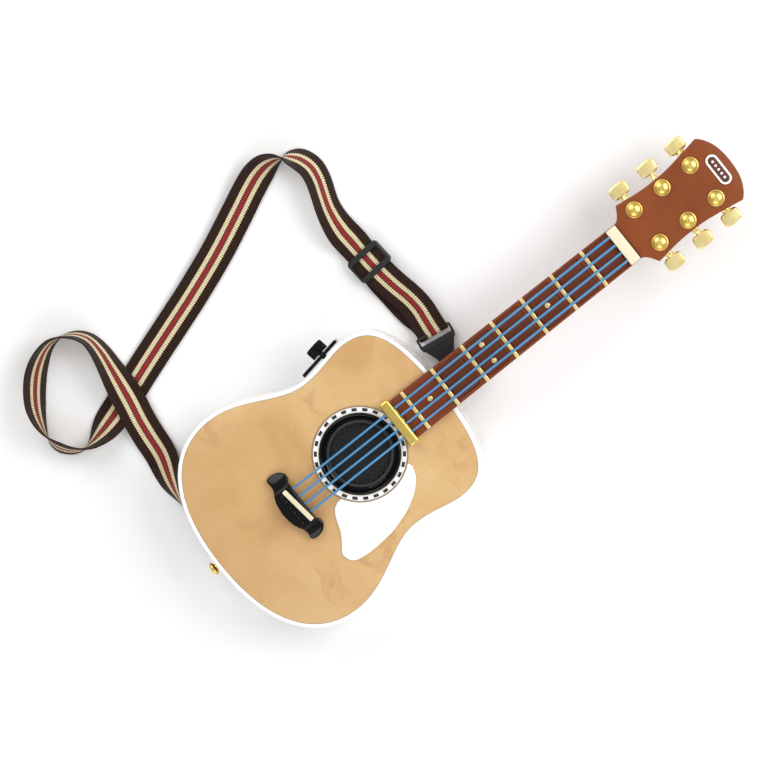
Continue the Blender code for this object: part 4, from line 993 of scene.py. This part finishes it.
# strap: x, y from the body's lower end, lift of the lower edge, and turn in degrees, 0 where it lies flat
strapStations = [
    (-0.0574, 0.0036, 0.0078, 88), (-0.0650, 0.0049, 0.0062, 85), (-0.0740, 0.0061, 0.0042, 80),
    (-0.0870, 0.0072, 0.0020, 66), (-0.1060, 0.0108, 0.0010, 38), (-0.1330, 0.0184, 0.0012, 8),
    (-0.1592, 0.0212, 0.0030, 0), (-0.1800, 0.0245, 0.0056, -2), (-0.2000, 0.0290, 0.0062, -8),
    (-0.2190, 0.0325, 0.0045, -28), (-0.2430, 0.0362, 0.0020, -50), (-0.2640, 0.0388, 0.0008, -62),
    (-0.2810, 0.0380, 0.0006, -71), (-0.2925, 0.0325, 0.0006, -77), (-0.3005, 0.0240, 0.0006, -83),
    (-0.3055, 0.0142, 0.0006, -91), (-0.3068, 0.0026, 0.0006, -101), (-0.3040, -0.0095, 0.0006, -109),
    (-0.2973, -0.0227, 0.0006, -118), (-0.2882, -0.0347, 0.0006, -123), (-0.2760, -0.0460, 0.0006, -123),
    (-0.2635, -0.0548, 0.0006, -119), (-0.2524, -0.0602, 0.0006, -110), (-0.2415, -0.0638, 0.0006, -99),
    (-0.2300, -0.0660, 0.0006, -85), (-0.2200, -0.0660, 0.0006, -73), (-0.2105, -0.0626, 0.0006, -68),
    (-0.2012, -0.0556, 0.0006, -72), (-0.1952, -0.0474, 0.0006, -80), (-0.1927, -0.0395, 0.0006, -93),
    (-0.1925, -0.0300, 0.0006, -112), (-0.1942, -0.0200, 0.0006, -132), (-0.1972, -0.0080, 0.0006, -154),
    (-0.2020, 0.0080, 0.0006, -173), (-0.2085, 0.0270, 0.0005, -180), (-0.2240, 0.0720, 0.0005, -182),
    (-0.2409, 0.1242, 0.0005, -184), (-0.2520, 0.1580, 0.0005, -186), (-0.2700, 0.2064, 0.0006, -188),
    (-0.2900, 0.2520, 0.0006, -192), (-0.3010, 0.2760, 0.0006, -197), (-0.3078, 0.2935, 0.0006, -205),
    (-0.3104, 0.3070, 0.0006, -219), (-0.3100, 0.3170, 0.0006, -237), (-0.3085, 0.3240, 0.0006, -253),
    (-0.3062, 0.3298, 0.0006, -271), (-0.3025, 0.3350, 0.0006, -290), (-0.2945, 0.3420, 0.0006, -307),
    (-0.2850, 0.3462, 0.0006, -313), (-0.2750, 0.3475, 0.0006, -315), (-0.2618, 0.3452, 0.0006, -314),
    (-0.2469, 0.3398, 0.0006, -313), (-0.2335, 0.3350, 0.0006, -315), (-0.2180, 0.3316, 0.0010, -324),
    (-0.2021, 0.3302, 0.0035, -340), (-0.1900, 0.3308, 0.0062, -356), (-0.1760, 0.3319, 0.0070, -371),
    (-0.1660, 0.3326, 0.0070, -372), (-0.1574, 0.3332, 0.0070, -372), (-0.1490, 0.3338, 0.0070, -372),
    (-0.1390, 0.3346, 0.0070, -372), (-0.1198, 0.3376, 0.0068, -374), (-0.0990, 0.3420, 0.0068, -376),
    (-0.0830, 0.3430, 0.0070, -374), (-0.0700, 0.3415, 0.0078, -371), (-0.0615, 0.3404, 0.0084, -369)]
returnStations = [
    (-0.0655, 0.3400, 0.0046, 6), (-0.0740, 0.3390, 0.0034, 6), (-0.0860, 0.3360, 0.0018, 3),
    (-0.1000, 0.3345, 0.0010, 0), (-0.1160, 0.3335, 0.0008, 0), (-0.1300, 0.3325, 0.0010, -3),
    (-0.1385, 0.3325, 0.0014, -5)]
strapShape = {"width": 0.0360, "thick": 0.0018, "length": 1.21, "ribPitch": 0.0026, "columns": 14,
              "spacing": 0.00087, "tabLength": 0.0560, "tabThick": 0.0025, "tabHalfPin": 0.0078,
              "tabHalfBar": 0.0160, "slider": (0.0300, 0.0430, 0.0078),
              "sliderAt": (-0.1574, 0.3332, 0.0116), "sliderLean": 12.0, "tabFromBody": 0.0024,
              "tabBend": 1.9, "tabHole": 0.0048, "tabSlot": 0.0070, "tabSlotAt": 0.0066, "tabBlock": 0.0042,
              "tabBlockAt": 0.0145, "sliderWindowLess": 0.0130}


def upperTabPlace():
    buttonLow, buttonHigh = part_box("heel_button")
    y = (buttonLow.y + buttonHigh.y) / 2
    z = (0.0030 + 0.0140) / 2 + 0.0014
    return at(0, y, z) @ Matrix.Rotation(radians(-9), 4, "Z") @ Matrix.Rotation(radians(-8), 4, "X")


def lowerTabPlace():
    pinLow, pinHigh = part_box("end_pin")
    place = at(0, bodyEnd - strapShape["tabFromBody"], (pinLow.z + pinHigh.z) / 2)
    return place @ Matrix.Rotation(pi / 2, 4, "X")


def stationFrames(stations, flip=1):
    # the middle of the webbing and the direction across it, at each station
    frames = []
    for index, (x, y, lift, turn) in enumerate(stations):
        before, after = stations[max(index - 1, 0)], stations[min(index + 1, len(stations) - 1)]
        heading = Vector((after[0] - before[0], after[1] - before[1], 0)).normalized()
        lean = radians(turn)
        across = Vector((heading.y, -heading.x, 0)) * cos(lean) + Vector((0, 0, 1)) * sin(lean)
        height = lift + strapShape["width"] / 2 * abs(sin(lean)) + strapShape["thick"] / 2 * abs(cos(lean))
        frames.append((Vector((x, bodyEnd + y, height)), across * flip))
    return frames


def strapFrames():
    main = stationFrames(throughPoints(strapStations, 6))
    slider = Vector(strapShape["sliderAt"][:2]) + Vector((0, bodyEnd))
    raised = []
    for middle, across in main:                    # it humps over the slider's middle bar
        away = (Vector(middle[:2]) - slider).length
        raised.append((middle + Vector((0, 0, 0.0013 * 2.7 ** -((away / 0.0052) ** 2))), across))
    tab = upperTabPlace()
    bar = tab @ Vector((-strapShape["tabLength"] + 0.0022, 0, 0))
    along = (tab.to_3x3() @ Vector((1, 0, 0))).normalized()
    up = (tab.to_3x3() @ Vector((0, 0, 1))).normalized()
    lastAcross = raised[-1][1]
    wrap = []
    for step in range(9):                          # round the tab's end bar
        angle = radians(80 - 20 * step)
        place = bar + along * 0.0026 * cos(angle) + up * 0.0025 * sin(angle)
        wrap.append((place, lastAcross))
    home = stationFrames(throughPoints(returnStations, 6), -1)
    end = []
    for step in range(1, 9):                       # up to the slider's middle bar, where it is sewn
        t = step / 8
        place = home[-1][0].lerp(Vector((slider.x + 0.0030, home[-1][0].y, 0.0086)), t)
        place.z += 0.0012 * t * (1 - t)
        end.append((place, home[-1][1].lerp(raised[int(len(raised) * 0.9)][1], t)))
    return raised + wrap + home + end


def evenFrames(frames, spacing):
    # the same run with frames an even distance apart, and its whole length
    travelled = [0.0]
    for (first, _), (second, _) in zip(frames, frames[1:]):
        travelled.append(travelled[-1] + (second - first).length)
    count = int(travelled[-1] / spacing)
    even, index = [], 0
    for step in range(count + 1):
        goal = travelled[-1] * step / count
        while index < len(frames) - 2 and travelled[index + 1] < goal:
            index += 1
        share = (goal - travelled[index]) / max(travelled[index + 1] - travelled[index], 1e-9)
        middle = frames[index][0].lerp(frames[index + 1][0], share)
        even.append((middle, frames[index][1].lerp(frames[index + 1][1], share).normalized(), goal))
    return even, travelled[-1]


def makeWebbing():
    s = strapShape
    frames, length = evenFrames(strapFrames(), s["spacing"])
    bm = bmesh.new()
    columns = s["columns"]
    shares = [index / columns - 0.5 for index in range(columns + 1)]
    ring, edges, placed = None, None, {}
    for middle, across, gone in frames:
        wide = s["width"] + 0.0005 * sin(2 * pi * gone / s["ribPitch"])
        if ring is None:
            ring = [bm.verts.new((0, 0, 0)) for share in shares]
            edges = [bm.edges.new(pair) for pair in zip(ring, ring[1:])]
        else:
            ring = nextRing(bm, ring, edges)
            edges = [bm.edges.get(pair) for pair in zip(ring, ring[1:])]
        for vertex, share in zip(ring, shares):
            vertex.co = middle + across * wide * share
            placed[vertex] = (share * s["width"], gone)
    uv = bm.loops.layers.uv.new("weave")
    for face in bm.faces:
        for loop in face.loops:
            loop[uv].uv = placed[loop.vert]
    bmesh.ops.recalc_face_normals(bm, faces=bm.faces)
    webbing = rawObject("strapWebbing", bm)
    wall = webbing.modifiers.new("thickness", "SOLIDIFY")
    wall.thickness = s["thick"]
    wall.offset = 0
    settle(webbing)
    dress(webbing, wovenStripes("stripedWebbing", s["width"], s["ribPitch"]),
          ["strap_webbing", "strap_return"], smooth=60)
    path = [tuple(middle) for middle, across, gone in frames[::4]]
    print("webbing made, length", round(length, 4))
    return webbing, path


def tabOutline():
    s = strapShape
    narrow, wide, length = s["tabHalfPin"], s["tabHalfBar"], s["tabLength"]
    nose = [(narrow * sin(a) * 1.1, narrow * cos(a)) for a in (pi * step / 24 for step in range(25))]
    ring = s["width"] / 2 + 0.0032
    side = throughPoints([(0, -narrow), (-0.0120, -narrow * 1.02), (-0.0250, -narrow * 1.35),
                          (-length + 0.0200, -wide * 1.02), (-length + 0.0135, -ring + 0.0006),
                          (-length + 0.0115, -ring)], 5)[1:]
    corner = [(-length + 0.0025 + 0.0025 * cos(a), -ring + 0.0025 + 0.0025 * sin(a))
              for a in (radians(-90 - 15 * step) for step in range(7))]
    lower = side + corner
    return nose + lower + [(x, -y) for x, y in reversed(lower)]


def makeTab(name, place, node, bend=0.0):
    s = strapShape
    thick, length = s["tabThick"] / 2, s["tabLength"]
    tab = rawObject(name, slab(tabOutline(), -thick, thick, 0.0008, 0.0008, 3))
    half = s["width"] / 2 + 0.0006
    slot = slab(roundedRect(s["tabSlot"], 2 * half, 0.0012), -0.01, 0.01)
    boolean(tab, moved(slot, at(s["tabSlotAt"] - length, 0, 0)))
    hole = s["tabHole"]
    boolean(tab, rod(hole, -0.01, 0.01, 40))
    block = slab(roundedRect(s["tabBlock"], 2 * half + 0.0034, 0.0020), -0.0004, 0.0015, 0.0011, 0, 5)
    boolean(tab, moved(block, at(s["tabBlockAt"] - length, 0, 0)), "UNION")
    collar = turnedShape([(hole, 0.0019), (hole + 0.0020, 0.0019), (hole + 0.0024, 0.0014),
                          (hole + 0.0024, 0), (hole, 0), (hole, 0.0019)], 40)
    boolean(tab, collar, "UNION")
    for vertex in tab.data.vertices:               # the lower one follows the round end of the body
        vertex.co.z -= bend * vertex.co.x ** 2
    tab.data.transform(place)
    dress(soften(tab, 0.0003), strapPlastic, [node])
    return tab


def makeSlider():
    s = strapShape
    length, width, height = s["slider"]
    frameBody = slab(roundedRect(length, width, 0.0050), -height / 2, height / 2, 0.0014, 0.0014, 4)
    slider = rawObject("strapSlider", frameBody)
    inner, tunnel = s["width"] / 2 + 0.0005, s["thick"] + 0.0016
    boolean(slider, slab(roundedRect(length - s["sliderWindowLess"], 2 * inner, 0.0012), 0.0002, height))
    boolean(slider, softBlock((2 * length, 2 * inner, tunnel), 0.0003, 1))
    for side in (-1, 1):
        pocket = slab(roundedRect(length, 2 * inner, 0.0012), -height, -0.0002)
        boolean(slider, moved(pocket, at(side * (length / 2 + 0.0028), 0, 0)))
    x, y, z = s["sliderAt"]
    slider.data.transform(at(x, bodyEnd + y, z) @ Matrix.Rotation(radians(4), 4, "Z")
                          @ Matrix.Rotation(radians(s["sliderLean"]), 4, "X"))
    dress(soften(slider, 0.0004), strapPlastic, ["strap_slider"])
    return slider


def makeStrap():
    webbing, path = makeWebbing()
    upper = makeTab("strapTabUpper", upperTabPlace(), "strap_tab_upper")
    lower = makeTab("strapTabLower", lowerTabPlace(), "strap_tab_lower", strapShape["tabBend"])
    slider = makeSlider()
    print("strap made")


# what is inside

def circuitGreen(name):
    look = {"mask": shade(28, 96, 58), "track": shade(46, 132, 78), "pad": shade(206, 186, 120)}
    material, tree, shader, coords = newMaterial(name, 0.38, coat=0.3)
    cells = node(tree, "TexVoronoi", {"Vector": coords, "Scale": 260.0}, feature="DISTANCE_TO_EDGE",
                 distance="MANHATTAN").outputs["Distance"]
    tracks = node(tree, "TexBrick", {"Vector": coords, "Color1": (0, 0, 0, 1), "Color2": (0, 0, 0, 1),
                                     "Mortar": (1, 1, 1, 1), "Scale": 60.0, "Mortar Size": 0.03}).outputs[0]
    colour = blendColours(tree, tracks, look["mask"], look["track"])
    colour = blendColours(tree, maths(tree, "GREATER_THAN", cells, 0.42), colour, look["pad"])
    tree.links.new(colour, shader.inputs["Base Color"])
    bumpFrom(tree, shader, tracks, 0.4, 0.00005)
    return material


def paperCone(name):
    # ridges round the middle of the speaker
    material, tree, shader, coords = newMaterial(name, 0.8, sheen=0.1)
    centred = node(tree, "Mapping", {"Vector": coords, "Location": (0, -holeY, 0)}).outputs[0]
    rings = node(tree, "TexWave", {"Vector": centred, "Scale": 90.0, "Distortion": 0.3}, wave_type="RINGS",
                 rings_direction="Z").outputs["Fac"]
    fibres = noise(tree, coords, 500.0, 5.0)
    tree.links.new(ramp(tree, fibres, [(0.3, shade(22, 22, 23)), (0.7, shade(40, 39, 38))]),
                   shader.inputs["Base Color"])
    bumpFrom(tree, shader, rings, 0.5, 0.0003)
    return material


def brushedMetal(name, colour):
    material, tree, shader, coords = newMaterial(name, 0.32, metallic=1.0)
    fine = node(tree, "Mapping", {"Vector": coords, "Scale": (2200, 160, 160)}).outputs[0]
    lines = noise(tree, fine, 1.0, 3.0)
    darker = tuple(c * 0.8 for c in colour[:3]) + (1.0,)
    tree.links.new(ramp(tree, lines, [(0.3, darker), (0.7, colour)]), shader.inputs["Base Color"])
    tree.links.new(spread(tree, lines, 0.25, 0.45), shader.inputs["Roughness"])
    bumpFrom(tree, shader, lines, 0.2, 0.00003)
    return material


brightSteel = brushedMetal("brightSteel", shade(196, 197, 200))
badgeBrown = mouldedPlastic("badgeBrown", shade(92, 52, 38), 0.3, spots=0.06)


def dressInside():
    # nodes kept as they are, with their own finishes
    green, cone = circuitGreen("circuitGreen"), paperCone("paperCone")
    wrap = mouldedPlastic("batteryWrap", shade(44, 46, 52), 0.3, spots=0.2, coat=0.3)
    for name, material in (("main_board", green), ("key_board", green), ("speaker_driver", cone),
                           ("battery_block", wrap), ("volume_encoder", brightSteel)):
        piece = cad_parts[name]
        piece.data.materials.clear()
        piece.data.materials.append(material)


makeBody()
makeBackScrews()
makeBatteryDoor()
makePickguard()
makeSpeakerFront()
makeBridge()
makeNeck()
makeBoard()
makeStrings()
makeTuners()
makeBadge()
makeControl()
makeFasteners()
makeStrap()
dressInside()


# floor, lights and camera

def makeStage():
    look = {"floor": shade(250, 250, 250), "size": 6.0, "world": 0.50}
    bm = bmesh.new()
    bmesh.ops.create_grid(bm, x_segments=2, y_segments=2, size=look["size"])
    floor = rawObject("floor", moved(bm, at(0, 0, -0.0004)))
    material, tree, shader, coords = newMaterial("paleFloor", 0.9, specular=0.0)
    tone = noise(tree, coords, 2.0, 2.0)
    tree.links.new(ramp(tree, tone, [(0.3, shade(249, 249, 249)), (0.7, look["floor"])]),
                   shader.inputs["Base Color"])
    floor.data.materials.append(material)
    world = bpy.data.worlds.new("studio")
    world.use_nodes = True
    backdrop = world.node_tree.nodes["Background"]
    backdrop.inputs["Color"].default_value = (1, 1, 1, 1)
    backdrop.inputs["Strength"].default_value = look["world"]
    scene.world = world


def makeLight(name, place, target, size, power):
    data = bpy.data.lights.new(name, "AREA")
    data.shape = "RECTANGLE"
    data.size, data.size_y = size
    data.energy = power
    lamp = bpy.data.objects.new(name, data)
    lamp.location = place
    lamp.rotation_euler = (Vector(target) - Vector(place)).to_track_quat("-Z", "Y").to_euler()
    scene.collection.objects.link(lamp)


def makeCamera():
    look = {"distance": 4.4, "lens": 190.4, "tiltX": -0.6, "tiltY": 5.5, "roll": 38.65,
            "target": (-0.04316, holeY + 0.06802, 0.070)}
    toCamera = Vector((tan(radians(look["tiltX"])), tan(radians(look["tiltY"])), 1)).normalized()
    roll = radians(look["roll"])
    right = (-toCamera).cross(Vector((-cos(roll), sin(roll), 0))).normalized()
    up = toCamera.cross(right)
    data = bpy.data.cameras.new("camera")
    data.lens = look["lens"]
    data.clip_end = 20
    camera = bpy.data.objects.new("camera", data)
    facing = Matrix((right, up, toCamera)).transposed().to_4x4()
    camera.matrix_world = Matrix.Translation(Vector(look["target"]) + toCamera * look["distance"]) @ facing
    scene.collection.objects.link(camera)
    scene.camera = camera


makeStage()
middle = (cadLow + cadHigh) / 2
makeLight("keyLight", (0.35, 1.5, 1.5), middle, (1.4, 1.4), 24.5)
makeLight("sideLight", (-1.6, -0.1, 1.3), middle, (1.2, 1.6), 16)
makeLight("fillLight", (1.3, -1.0, 1.4), middle, (1.4, 1.4), 13)
makeCamera()
scene.view_settings.view_transform = "Standard"
print("stage, lights and camera made")
